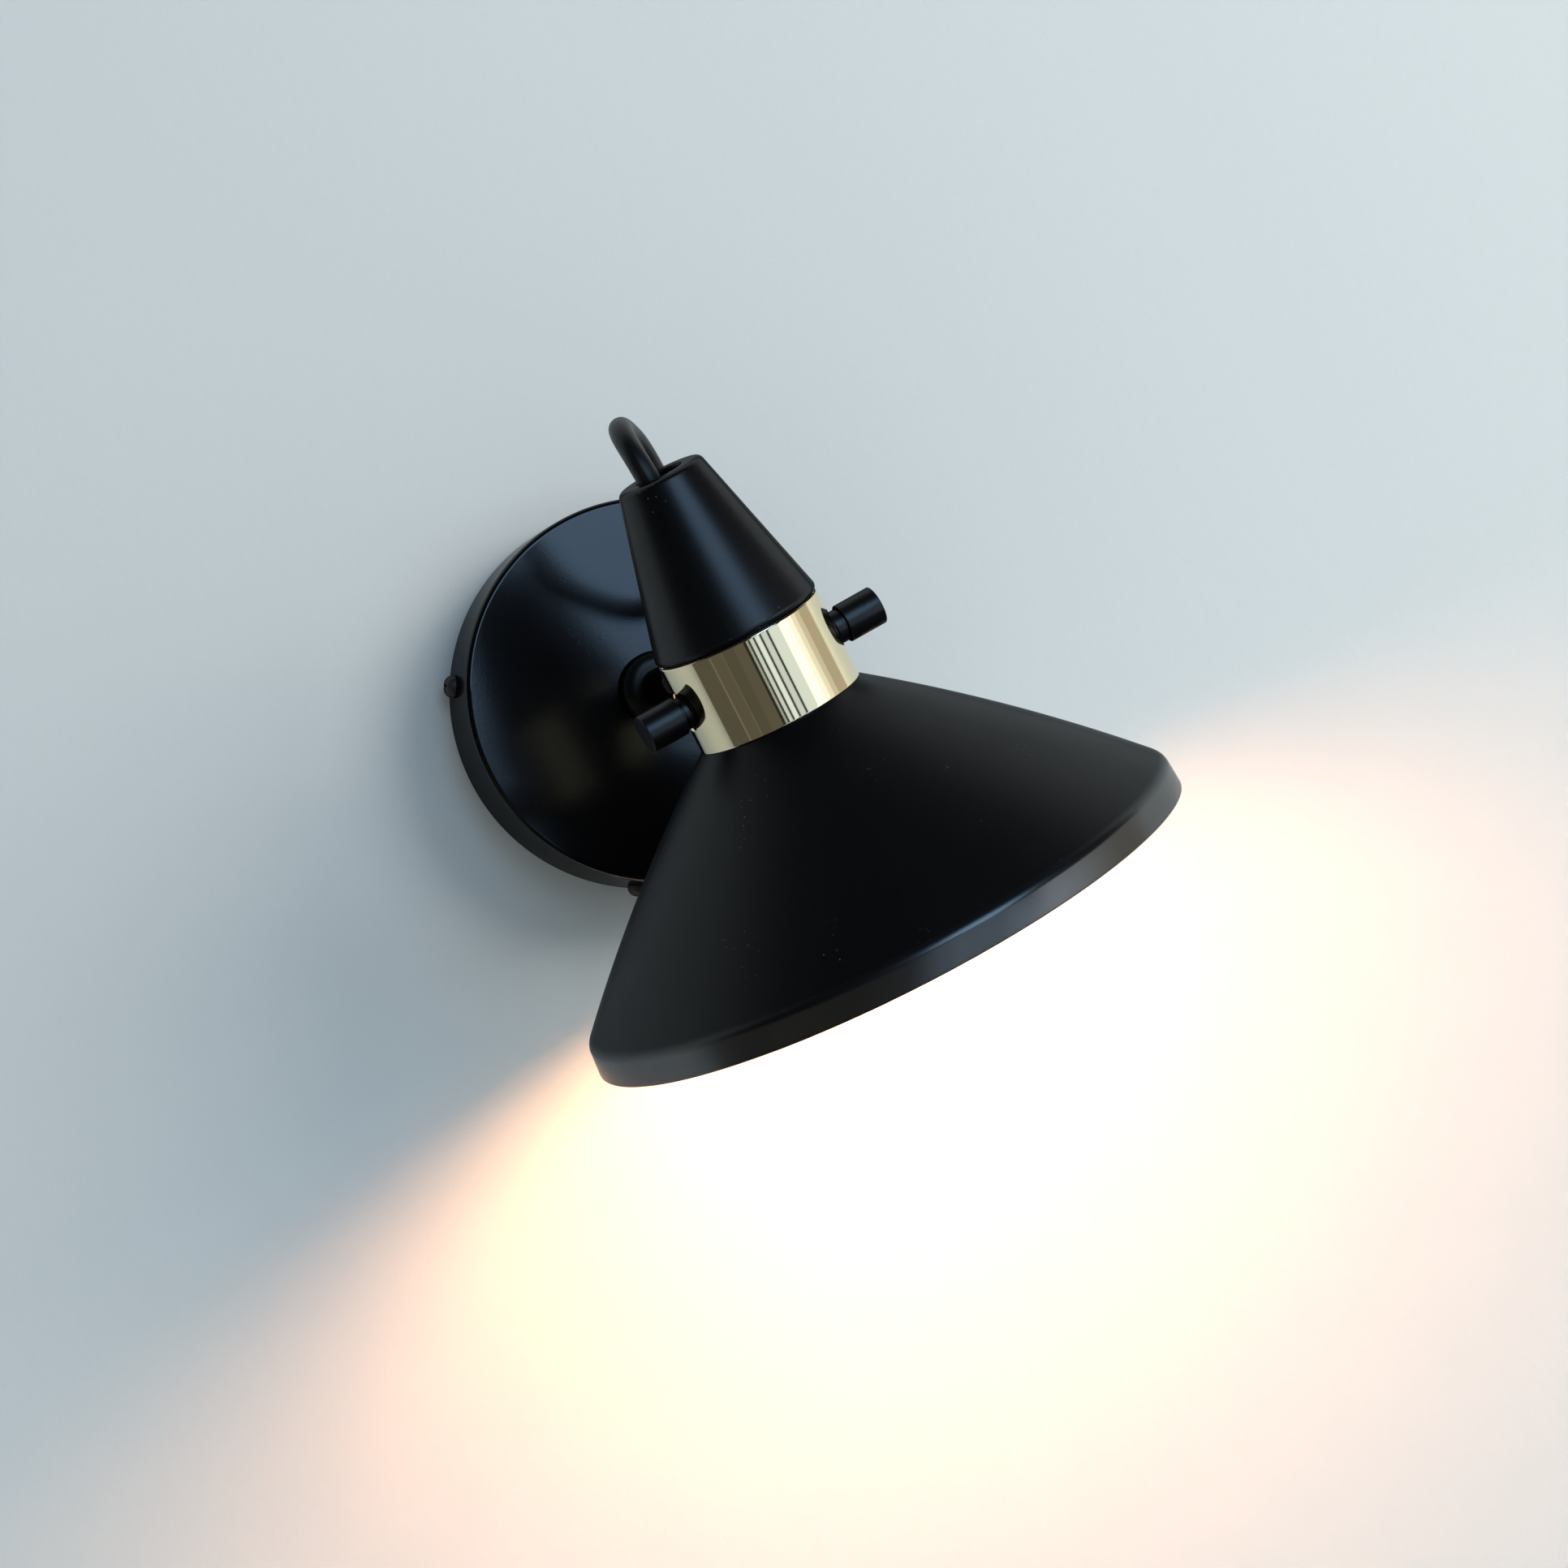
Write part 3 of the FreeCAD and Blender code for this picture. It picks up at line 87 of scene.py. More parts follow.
def finishMesh(name, points, faces, uv=None, sharp=35):
    # Puts arrays of points and four-sided faces into a mesh. A face whose last two corners are the
    # same point is a triangle.
    mesh = bpy.data.meshes.new(name)
    tidy = [tuple(f[:3]) if f[2] == f[3] else tuple(f) for f in faces.tolist()]
    mesh.from_pydata(points.tolist(), [], tidy)
    if uv is not None:
        layer = mesh.uv_layers.new(name="UVMap")
        order = np.zeros(len(mesh.loops), int)
        mesh.loops.foreach_get("vertex_index", order)
        layer.data.foreach_set("uv", uv[order].astype(np.float32).ravel())
    mesh.polygons.foreach_set("use_smooth", np.ones(len(mesh.polygons), bool))
    mesh.set_sharp_from_angle(angle=math.radians(sharp))
    mesh.validate()
    obj = bpy.data.objects.new(name, mesh)
    bpy.context.scene.collection.objects.link(obj)
    return obj


def roundedProfile(corners, steps=7, closed=False):
    # Corners are (radius, height, rounding) in millimetres. Each rounded corner becomes an arc that
    # touches both sides: its centre lies on the halving line, rounding / sin(half angle) away.
    flat = np.array([c[:2] for c in corners], float)
    count = len(corners)
    out = []
    for i, (x, y, amount) in enumerate(corners):
        here = flat[i]
        if amount <= 0 or (not closed and i in (0, count - 1)):
            out.append(here[None])
            continue
        before, after = flat[i - 1] - here, flat[(i + 1) % count] - here
        a, b = before / np.linalg.norm(before), after / np.linalg.norm(after)
        half = math.acos(np.clip(a @ b, -1, 1)) / 2
        back = amount / math.tan(half)
        middle = (a + b) / np.linalg.norm(a + b) * amount / math.sin(half) + here
        first, last = here + a * back - middle, here + b * back - middle
        sweep = math.atan2(first[0] * last[1] - first[1] * last[0], first @ last)
        angles = np.linspace(0, sweep, steps)
        turned = np.stack([
            np.cos(angles) * first[0] - np.sin(angles) * first[1],
            np.sin(angles) * first[0] + np.cos(angles) * first[1],
        ], -1)
        out.append(middle + turned)
    return np.concatenate(out)


def lathe(name, space, profile, around=160, closed=True, sharp=35):
    # Turns a profile of (radius, height) in millimetres about the space's third direction: a point at
    # angle t stands at radius cos t, radius sin t, height. A profile that starts or ends on the axis
    # closes there in one point.
    profile = np.asarray(profile, float) / 1000
    rows = len(profile)
    t = np.linspace(0, 2 * math.pi, around, endpoint=False)
    radius, height = profile[:, 0], profile[:, 1]
    grid = np.stack([
        radius[:, None] * np.cos(t), radius[:, None] * np.sin(t), np.repeat(height[:, None], around, 1)
    ], -1).reshape(-1, 3)
    faces = gridFaces(rows, around, closed)
    for end in (0, rows - 1):
        if radius[end] == 0:
            faces = np.where(faces // around == end, end * around, faces)
    collapsed = (faces[:, 0] == faces[:, 1]) & (faces[:, 2] == faces[:, 3])
    faces = faces[~collapsed]
    pole = faces[:, 0] == faces[:, 1]
    faces[pole] = np.stack([faces[pole, 1], faces[pole, 2], faces[pole, 3], faces[pole, 3]], -1)
    used, faces = usedOnly(faces)
    run = np.concatenate([[0], np.cumsum(np.linalg.norm(np.diff(profile, axis=0), axis=1))])
    uv = np.stack([np.tile(t / (2 * math.pi), rows), np.repeat(run * 10, around)], -1)
    obj = finishMesh(name, inSpace(space, grid[used]), faces, uv[used], sharp)
    turnOutwards(obj)
    return obj


def usedOnly(faces):
    # The points that the faces use, and the faces with those points numbered from nought.
    used = np.unique(faces)
    renumber = np.zeros(used[-1] + 1, int)
    renumber[used] = np.arange(len(used))
    return used, renumber[faces]


def turnOutwards(obj):
    if signedVolume(obj) < 0:
        obj.data.flip_normals()


def signedVolume(obj):
    # Six times the sum of the tetrahedra from the origin to each triangle: negative inside out.
    mesh = obj.data
    mesh.calc_loop_triangles()
    corners = np.zeros(len(mesh.loop_triangles) * 3, int)
    mesh.loop_triangles.foreach_get("vertices", corners)
    points = np.zeros(len(mesh.vertices) * 3)
    mesh.vertices.foreach_get("co", points)
    a, b, c = points.reshape(-1, 3)[corners.reshape(-1, 3)].transpose(1, 0, 2)
    return float(np.einsum("ij,ij->i", a, np.cross(b, c)).sum())


def splinePoints(name, route, fineness):
    # Reads points from a smooth spline whose control points are the route.
    curve = bpy.data.curves.new(name, "CURVE")
    curve.dimensions = "3D"
    curve.resolution_u = fineness
    spline = curve.splines.new("NURBS")
    spline.points.add(len(route) - 1)
    spline.points.foreach_set("co", np.c_[route, np.ones(len(route))].astype(np.float32).ravel())
    spline.order_u = 3
    spline.use_endpoint_u = True
    holder = bpy.data.objects.new(name, curve)
    line = bpy.data.meshes.new_from_object(holder)
    points = np.zeros(len(line.vertices) * 3)
    line.vertices.foreach_get("co", points)
    bpy.data.objects.remove(holder)
    bpy.data.curves.remove(curve)
    bpy.data.meshes.remove(line)
    return points.reshape(-1, 3)


def tubeAlong(name, path, radius, sides=28):
    # A round tube: at each point of the path a circle stands square to the path, and its first
    # direction is the last one's with the part along the path taken off, so the tube doesn't twist.
    ways = np.gradient(path, axis=0)
    ways /= np.linalg.norm(ways, axis=1)[:, None]
    first = np.zeros_like(ways)
    side = np.cross(ways[0], [0.3, 0.1, 0.9])  # any direction does that isn't the path's own
    for i, way in enumerate(ways):  # one step for each ring, each needs the one before
        side = side - way * (side @ way)
        side /= np.linalg.norm(side)
        first[i] = side
    second = np.cross(ways, first)
    t = np.linspace(0, 2 * math.pi, sides, endpoint=False)
    rings = path[:, None] + radius * (
        np.cos(t)[None, :, None] * first[:, None] + np.sin(t)[None, :, None] * second[:, None]
    )
    count = len(path)
    faces = gridFaces(count, sides)
    points = np.concatenate([rings.reshape(-1, 3), path[:1], path[-1:]])
    start, end = count * sides, count * sides + 1
    column = np.arange(sides)
    after = (column + 1) % sides
    last = (count - 1) * sides
    caps = np.concatenate([
        np.stack([np.full(sides, start), after, column, column], -1),
        np.stack([np.full(sides, end), last + column, last + after, last + after], -1),
    ])
    run = np.concatenate([[0], np.cumsum(np.linalg.norm(np.diff(path, axis=0), axis=1))])
    uv = np.stack([np.tile(t / (2 * math.pi), count), np.repeat(run / (2 * math.pi * radius), sides)], -1)
    uv = np.concatenate([uv, uv[:1], uv[-1:]])
    obj = finishMesh(name, points, np.concatenate([faces, caps]), uv, 60)
    turnOutwards(obj)
    return obj


# The photograph's camera, fitted to the outlines of the plate, collar, cap and shade.
camera = {
    "place": (-0.44844, -2.02578, -0.22475),
    "target": (0.04841, 0.0, -0.02681),
    "lens": 149.07,
    "sensor": 36,
    "nearest": 0.05,
}


def makeCamera():
    data = bpy.data.cameras.new("photoCamera")
    data.sensor_width = camera["sensor"]
    data.lens = camera["lens"]
    data.clip_start = camera["nearest"]
    obj = bpy.data.objects.new("photoCamera", data)
    bpy.context.scene.collection.objects.link(obj)
    place, target = Vector(camera["place"]), Vector(camera["target"])
    obj.location = place
    obj.rotation_euler = (target - place).to_track_quat("-Z", "Y").to_euler()
    bpy.context.scene.camera = obj


makeCamera()
print("stage 2: camera")


# The flex runs from the cord grip through the cap's top, round a loop and down behind the head to a
# joint beside the hinge, and from there to the grommet in the plate.
flex = {
    "radius": 0.0036,
    "loopRadius": 18.2,
    "loopTop": 81.55,  # the loop's crest above the collar's middle
    "gripTop": 37.85,
    "capTop": 66.55,
    "joint": np.array([-2.1, -90.0, 33.7]) / 1000,
    "above": np.array([-11.4, -112.0, 39.9]) / 1000,
    "hole": np.array([11.7052, -27.2, 40.3019]) / 1000,
    "upperEnd": [-0.002, 0.006, 0.078],  # in the head's directions
    "fineness": 24,
}


def flexRoutes():
    half, lift = flex["loopRadius"], flex["loopTop"]
    side = half * math.tan(math.pi / 8)
    inHead = np.array([
        [0, 0, flex["gripTop"] - 9],  # inside the grip
        [0, 0, flex["gripTop"] + 7],
        [-3.0, 0.6, flex["capTop"] - 8],  # below the cap's hole
        [-3.8, 0, lift - half + side],
        [-2.0, half - side, lift],
        [3.1, half + side, lift],
        [8.9, 2 * half, lift - half + side],
    ]) / 1000
    joint, above, hole = flex["joint"], flex["above"], flex["hole"]
    upper = np.concatenate([inSpace(headSpace, inHead), [above, joint]])
    away = (joint - above) / np.linalg.norm(joint - above)
    lower = np.array([
        hole + [0, 0.010, 0],  # inside the plate
        hole + [0, -0.008, 0],
        hole + [-0.0019, -0.0268, -0.0064],
        joint + away * 0.018,
        joint,
    ])
    return upper, lower


def makeFlex():
    upper, lower = flexRoutes()
    joint, upperEnd = flex["joint"], inSpace(headSpace, [flex["upperEnd"]])[0]
    lowerStart, lowerEnd = flex["hole"] + [0, -0.006, 0], joint + [0, 0.004, 0]
    pieces = []
    for name, node, route, bodies, start, end in (
        ("flexUpper", "cord_upper", upper, ("arm", "head"), joint, upperEnd),
        ("flexLower", "cord_lower", lower, ("plate", "arm"), lowerStart, lowerEnd),
    ):
        path = splinePoints(name, route, flex["fineness"])
        obj = tubeAlong(name, path, flex["radius"])
        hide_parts(node)
        pieces.append(obj)
        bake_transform(obj)
    return pieces


flexPieces = makeFlex()
print("stage 3: flex")


# The head's pieces, in millimetres along and about the head's axis, from the collar's middle. All of
# them have the sizes of the CAD solids that they stand for.
collar = {
    "outer": 26.45, "wall": 2.0, "half": 14.35, "edge": 0.45, "hole": 6.5, "neckHole": 4.04,
    "around": 720, "rows": 132, "bend": 6,
    "reach": 11.5,  # how far round a hole the grid gives way
    "core": 2.2, "ring": 3.4,  # in cells: what is cut out, and what lies on the hole's edge
}


def makeCollar():
    # The collar is a cylinder drawn on a grid of angle and height. Round each hole the grid is pushed
    # outwards: a point at distance d from the hole's middle goes to hole + d (reach - hole) / reach,
    # and the few cells inside the smallest ring are left out.
    outer, half, edge, hole, neckHole, reach = (
        collar[k] / 1000 for k in ("outer", "half", "edge", "hole", "neckHole", "reach")
    )
    around, rows = collar["around"], collar["rows"]
    t = np.linspace(0, 2 * math.pi, around, endpoint=False)
    corner = np.linspace(0, math.pi / 2, collar["bend"])[1:]
    flat = np.linspace(-half + edge, half - edge, rows)
    height = np.concatenate([
        -half + edge - edge * np.sin(corner)[::-1], flat, half - edge + edge * np.sin(corner)
    ])
    inset = np.concatenate([edge * (1 - np.cos(corner))[::-1], np.zeros(rows), edge * (1 - np.cos(corner))])
    a, z = np.meshgrid(t, height)
    r = outer - np.repeat(inset[:, None], around, 1)
    cell = outer * 2 * math.pi / around
    core, ringEnd = collar["core"] * cell, collar["ring"] * cell
    cut = np.zeros(a.shape, bool)
    for middle, size in ((0.0, hole), (math.pi, hole), (math.pi / 2, neckHole)):
        turn = (a - middle + math.pi) % (2 * math.pi) - math.pi
        side = np.sin(turn) * outer
        near = (np.cos(turn) > 0) & (np.hypot(side, z) < reach)
        d = np.maximum(np.hypot(side, z), 1e-9)
        grown = size + (d - core) * (reach - size) / (reach - core)
        inside = near & (d < core)
        ring = near & ~inside & (d < ringEnd)
        grown = np.where(ring | inside, size, grown)
        cut |= inside
        newSide = np.where(near, side / d * grown, side)
        newZ = np.where(near, z / d * grown, z)
        a = np.where(near, middle + np.arcsin(np.clip(newSide / outer, -1, 1)), a)
        z = newZ
    points = np.stack([r * np.cos(a), r * np.sin(a), z], -1).reshape(-1, 3)
    faces = gridFaces(len(height), around)
    used, faces = usedOnly(faces[~cut.ravel()[faces].any(1)])
    uv = np.stack([a / (2 * math.pi), z * 10], -1).reshape(-1, 2)
    obj = finishMesh("collarBand", inSpace(headSpace, points[used]), faces, uv[used], 40)
    wall = obj.modifiers.new("wall", "SOLIDIFY")
    wall.thickness = collar["wall"] / 1000
    wall.offset = -1
    return obj


cap = {
    "foot": 14.35, "top": 66.55, "footRadius": 27.2, "topRadius": 13.6, "wall": 1.5,
    "hole": 7.2, "bore": 24.6, "footEdge": 2.0, "topEdge": 2.2, "holeEdge": 0.7,
    "boreEdge": 0.2, "holeInside": 0.4, "topInside": 0.6, "footInside": 0.3,
    "steps": 11, "around": 224,
}


def makeCap():
    slope = (cap["footRadius"] - cap["topRadius"]) / (cap["top"] - cap["foot"])
    level = cap["wall"] * math.hypot(1, slope)
    under = cap["top"] - cap["wall"]
    return lathe("capCone", headSpace, roundedProfile([
        (cap["bore"], cap["foot"], cap["boreEdge"]),
        (cap["footRadius"], cap["foot"], cap["footEdge"]),
        (cap["topRadius"], cap["top"], cap["topEdge"]),
        (cap["hole"], cap["top"], cap["holeEdge"]),
        (cap["hole"], under, cap["holeInside"]),
        (cap["topRadius"] + slope * cap["wall"] - level, under, cap["topInside"]),
        (cap["bore"], cap["foot"] + (cap["footRadius"] - level - cap["bore"]) / slope, cap["footInside"]),
    ], cap["steps"], True), cap["around"])


shade = {
    "top": -14.35, "drop": 64.5, "rim": 8.9, "shoulder": 26.3, "radius": 98.0, "flare": 0.7,
    "bulge": 2.0, "wall": 1.2, "crease": 4.0, "neck": 24.3, "rimEdge": 0.5,
    "creaseLap": 1.05, "creaseDrop": 0.2,  # how the inside's crease lies off the outside's
    "points": 40, "steps": 9, "around": 288,
}


def makeShade():
    # The bell's outline is an arc of a circle through the shoulder and the crease; the inner outline
    # is the outer one moved square to itself by the wall.
    top, rim, wall, neck = shade["top"], shade["rim"], shade["wall"], shade["neck"]
    a = np.array([shade["shoulder"], top])
    b = np.array([shade["radius"] - shade["flare"], top - shade["drop"]])
    chord = np.linalg.norm(b - a)
    bell = ((chord / 2) ** 2 + shade["bulge"] ** 2) / (2 * shade["bulge"])
    outward = np.array([a[1] - b[1], b[0] - a[0]]) / chord
    middle = (a + b) / 2 - outward * (bell - shade["bulge"])
    first, last = np.arctan2(*(a - middle)[::-1]), np.arctan2(*(b - middle)[::-1])
    angles = np.linspace(first, last, shade["points"])
    outer = middle + bell * np.stack([np.cos(angles), np.sin(angles)], -1)
    inner = middle + (bell - wall) * np.stack([np.cos(angles), np.sin(angles)], -1)
    corners = [(x, y, 0) for x, y in outer[:-1]]
    corners += [
        (b[0], b[1], shade["crease"]),
        (shade["radius"], b[1] - rim, shade["rimEdge"]),
        (shade["radius"] - wall, b[1] - rim, shade["rimEdge"]),
        (b[0] - wall * shade["creaseLap"], inner[-1][1] - shade["creaseDrop"], shade["crease"] - wall),
    ]
    corners += [(x, y, 0) for x, y in inner[-2::-1] if x > neck + wall]
    corners += [(neck, top - wall, 0), (neck, top, 0)]
    return lathe("shadeBell", headSpace, roundedProfile(corners, shade["steps"], True), shade["around"])


bulb = {
    "capFoot": -24.75, "length": 53.0, "radius": 22.5, "neck": 12.8, "wall": 1.0,
    "ballEnd": 25,  # in degrees above the ball's widest ring, where the neck begins
    "ease": 0.45,  # the share of the neck's taper that is an S instead of a straight line
    "around": 96,
}


def makeBulb():
    tip = bulb["capFoot"] - bulb["length"]
    centre = tip + bulb["radius"]
    angles = np.radians(np.linspace(-90, bulb["ballEnd"], 40))
    ball = np.stack([bulb["radius"] * np.cos(angles), centre + bulb["radius"] * np.sin(angles)], -1)
    ball[0, 0] = 0
    s = np.linspace(0, 1, 20)[1:]
    taper = bulb["neck"] - ball[-1, 0]
    neckLine = np.stack([
        ball[-1, 0] + taper * (3 * s**2 - 2 * s**3) * bulb["ease"] + taper * s * (1 - bulb["ease"]),
        ball[-1, 1] + (bulb["capFoot"] - ball[-1, 1]) * s,
    ], -1)
    outer = np.concatenate([ball, neckLine])
    inner = outer[::-1] - np.array([bulb["wall"], 0])
    inner[:, 1] = np.maximum(inner[:, 1], tip + bulb["wall"])
    inner[-1, 0] = 0
    inner = inner[(inner[:, 0] >= 0)]
    return lathe("bulbGlass", headSpace, np.concatenate([outer, inner]), bulb["around"], False, 60)


thumb = {
    "end": 41.2, "knob": 12.2, "radius": 6.05, "groove": 4.9, "grooveWidth": 0.7,
    "shoulder": 5.2, "shoulderLength": 2.8, "thread": 2.5, "tip": 20.4,
    "drive": 0.8,  # how much further out the right screw stands, and further in the left one
    "tipEdge": 0.3, "shoulderEdge": 0.2, "grooveEdge": 0.15, "knobEdge": 0.3, "endEdge": 0.35,
    "steps": 7, "around": 96,
}


def makeThumb(name, way):
    end = thumb["end"] + way * thumb["drive"]
    tip = thumb["tip"] + way * thumb["drive"]
    groove = end - thumb["knob"] - thumb["grooveWidth"]
    knobStart = groove + thumb["grooveWidth"]
    shoulderStart = groove - thumb["shoulderLength"]
    space = (headCentre, headUp, way * headBack, way * pinWay)
    return lathe(name, space, roundedProfile([
        (0, tip, 0), (thumb["thread"], tip, thumb["tipEdge"]),
        (thumb["thread"], shoulderStart, 0), (thumb["shoulder"], shoulderStart, thumb["shoulderEdge"]),
        (thumb["shoulder"], groove, thumb["grooveEdge"]), (thumb["groove"], groove, 0),
        (thumb["groove"], knobStart, 0), (thumb["radius"], knobStart, thumb["knobEdge"]),
        (thumb["radius"], end, thumb["endEdge"]), (0, end, 0),
    ], thumb["steps"], False), thumb["around"], False)


headPieces = {}
for name, node, body, make in (
    ("capCone", "cap", "head", makeCap),
    ("shadeBell", "shade", "head", makeShade),
    ("collarBand", "collar", "head", makeCollar),
    ("bulbGlass", "bulb_globe", "head", makeBulb),
    ("thumbRight", "thumb_screw_right", "right_thumb_screw", lambda: makeThumb("thumbRight", 1)),
    ("thumbLeft", "thumb_screw_left", "left_thumb_screw", lambda: makeThumb("thumbLeft", -1)),
):
    headPieces[name] = make()
    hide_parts(node)
    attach(headPieces[name], body)
print("stage 4: head pieces", len(headPieces))


# Node helpers. Each shared effect is a group with named inputs and outputs.
def newMaterial(name):
    material = bpy.data.materials.new(name)
    material.use_nodes = True
    tree = material.node_tree
    tree.nodes.clear()
    output = tree.nodes.new("ShaderNodeOutputMaterial")
    return material, tree, output


def setInput(tree, socket, value):
    # A value may be a constant or another node's output.
    if isinstance(value, bpy.types.NodeSocket):
        tree.links.new(value, socket)
    else:
        socket.default_value = value


def addNode(tree, kind, inputs=None, **settings):
    node = tree.nodes.new("ShaderNode" + kind)
    for key, value in settings.items():
        setattr(node, key, value)
    for key, value in (inputs or {}).items():
        setInput(tree, node.inputs[key], value)
    return node


def mapRange(tree, value, low, high, toLow, toHigh, smooth=False):
    node = addNode(tree, "MapRange", {0: value, 1: low, 2: high, 3: toLow, 4: toHigh})
    node.interpolation_type = "SMOOTHSTEP" if smooth else "LINEAR"
    return node.outputs[0]


def calc(tree, kind, first, second=0.5, clamp=False):
    return addNode(tree, "Math", {0: first, 1: second}, operation=kind, use_clamp=clamp).outputs[0]


def vectorCalc(tree, kind, first, second):
    node = addNode(tree, "VectorMath", {0: first, 1: second}, operation=kind)
    return node.outputs["Value" if kind == "DOT_PRODUCT" else "Vector"]


def mixNumber(tree, factor, first, second):
    return addNode(tree, "Mix", {0: factor, 2: first, 3: second}, data_type="FLOAT").outputs[0]


def mixColour(tree, factor, first, second):
    return addNode(tree, "Mix", data_type="RGBA", inputs={0: factor, 6: first, 7: second}).outputs[2]


def noise(tree, place, scale, detail, rough=0.5):
    # Noise between 0 and 1, mostly near its middle.
    inputs = {"Vector": place, "Scale": scale, "Detail": detail, "Roughness": rough}
    return addNode(tree, "TexNoise", inputs).outputs["Fac"]


def newGroup(name, inputs, outputs):
    group = bpy.data.node_groups.new(name, "ShaderNodeTree")
    for label, kind, value in inputs:
        socket = group.interface.new_socket(label, in_out="INPUT", socket_type="NodeSocket" + kind)
        socket.default_value = value
    for label, kind in outputs:
        group.interface.new_socket(label, in_out="OUTPUT", socket_type="NodeSocket" + kind)
    return group, group.nodes.new("NodeGroupInput"), group.nodes.new("NodeGroupOutput")


def useGroup(tree, group, **values):
    node = tree.nodes.new("ShaderNodeGroup")
    node.node_tree = group
    for key, value in values.items():
        setInput(tree, node.inputs[key], value)
    return node


def paintGroup():
    # Sprayed paint: fine orange peel as height, and slow drifts and specks in roughness and colour.
    group, start, end = newGroup(
        "sprayedPaint",
        [
            ("Colour", "Color", (0.02, 0.02, 0.02, 1)), ("Dust", "Color", (0.2, 0.2, 0.2, 1)),
            ("PeelScale", "Float", 900.0), ("Roughness", "Float", 0.4), ("Spread", "Float", 0.05),
            ("DustShare", "Float", 0.03),
        ],
        [("Colour", "Color"), ("Roughness", "Float"), ("Height", "Float")],
    )
    place = addNode(group, "TexCoord").outputs["Object"]
    peel = noise(group, place, start.outputs["PeelScale"], 3.0, 0.55)
    slow = noise(group, place, 22.0, 4.0, 0.6)
    speck = addNode(group, "TexVoronoi", {"Vector": place, "Scale": 520.0, "Randomness": 1.0})
    pick = noise(group, place, 60.0, 2.0)
    dot = mapRange(group, speck.outputs["Distance"], 0.06, 0.16, 1.0, 0.0)
    rare = mapRange(group, pick, 0.60, 0.72, 0.0, 1.0)
    dust = calc(group, "MULTIPLY", calc(group, "MULTIPLY", dot, rare), start.outputs["DustShare"])
    colour = mixColour(group, dust, start.outputs["Colour"], start.outputs["Dust"])
    drift = calc(group, "MULTIPLY", calc(group, "SUBTRACT", slow, 0.5), start.outputs["Spread"])
    fine = calc(group, "MULTIPLY", calc(group, "SUBTRACT", peel, 0.5), 0.06)
    rough = calc(group, "ADD", start.outputs["Roughness"], calc(group, "MULTIPLY", drift, 2.0))
    rough = calc(group, "ADD", calc(group, "ADD", rough, fine), calc(group, "MULTIPLY", dust, 0.4), True)
    group.links.new(colour, end.inputs["Colour"])
    group.links.new(rough, end.inputs["Roughness"])
    group.links.new(peel, end.inputs["Height"])
    return group


def brushedGroup():
    # Drawn or turned metal: noise stretched along one direction, as height and as roughness.
    group, start, end = newGroup(
        "drawnMetal",
        [
            ("Vector", "Vector", (0, 0, 0)), ("Stretch", "Vector", (1, 1, 40)), ("Scale", "Float", 60.0),
            ("Roughness", "Float", 0.3), ("Spread", "Float", 0.1), ("Colour", "Color", (0.6, 0.6, 0.6, 1)),
            ("Stain", "Color", (0.4, 0.38, 0.34, 1)), ("StainShare", "Float", 0.2),
        ],
        [("Colour", "Color"), ("Roughness", "Float"), ("Height", "Float")],
    )
    mapped = vectorCalc(group, "MULTIPLY", start.outputs["Vector"], start.outputs["Stretch"])
    lines = noise(group, mapped, start.outputs["Scale"], 5.0, 0.6)
    slow = noise(group, start.outputs["Vector"], 45.0, 5.0, 0.65)
    mask = calc(group, "MULTIPLY", mapRange(group, slow, 0.48, 0.72, 0.0, 1.0), start.outputs["StainShare"])
    colour = mixColour(group, mask, start.outputs["Colour"], start.outputs["Stain"])
    change = calc(group, "MULTIPLY", calc(group, "SUBTRACT", lines, 0.5), start.outputs["Spread"])
    group.links.new(colour, end.inputs["Colour"])
    group.links.new(calc(group, "ADD", start.outputs["Roughness"], change, True), end.inputs["Roughness"])
    group.links.new(lines, end.inputs["Height"])
    return group


sprayedPaint = paintGroup()
drawnMetal = brushedGroup()


def principled(tree, output, colour, rough, height, bump, distance, **settings):
    shader = addNode(tree, "BsdfPrincipled", {"Base Color": colour, "Roughness": rough})
    for key, value in settings.items():
        setInput(tree, shader.inputs[key.replace("_", " ")], value)
    node = addNode(tree, "Bump", {"Strength": bump, "Distance": distance, "Height": height})
    tree.links.new(node.outputs["Normal"], shader.inputs["Normal"])
    tree.links.new(shader.outputs[0], output.inputs["Surface"])


def objectPlace(tree):
    return addNode(tree, "TexCoord").outputs["Object"]


def fromHead(tree, place):
    # Where a point lies from the head's middle, and how far along the head's axis that is.
    offset = vectorCalc(tree, "SUBTRACT", place, tuple(headCentre.tolist()))
    return offset, vectorCalc(tree, "DOT_PRODUCT", offset, tuple(headUp.tolist()))


# The black paints. Gloss is how strongly the paint mirrors, where 0.5 is a plain coat.
finishes = {
    "satinBlack": {
        "colour": (0.0018, 0.0019, 0.0022, 1), "rough": 0.34, "spread": 0.05, "peel": 1500.0,
        "dust": 0.5, "gloss": 0.45,
    },
    "shadeBlack": {
        "colour": (0.0018, 0.0017, 0.0018, 1), "rough": 0.40, "spread": 0.06, "peel": 1500.0,
        "dust": 0.5, "gloss": 0.22,
    },
    "plateBlack": {
        "colour": (0.0014, 0.0015, 0.0018, 1), "rough": 0.15, "spread": 0.04, "peel": 1100.0,
        "dust": 0.15, "gloss": 0.45,
    },
    # brownish and paler than the other blacks: a painted warm reflection of the lit wall on the screw heads,
    # not their own colour
    "screwPaintedWarmReflection": {
        "colour": (0.030, 0.023, 0.020, 1), "rough": 0.46, "spread": 0.1, "peel": 1800.0,
        "dust": 0.2, "gloss": 0.5,
    },
}
paintBump = {"bump": 0.08, "distance": 0.0001}
grazing = {"start": 0.25, "end": 0.70, "share": 0.02}
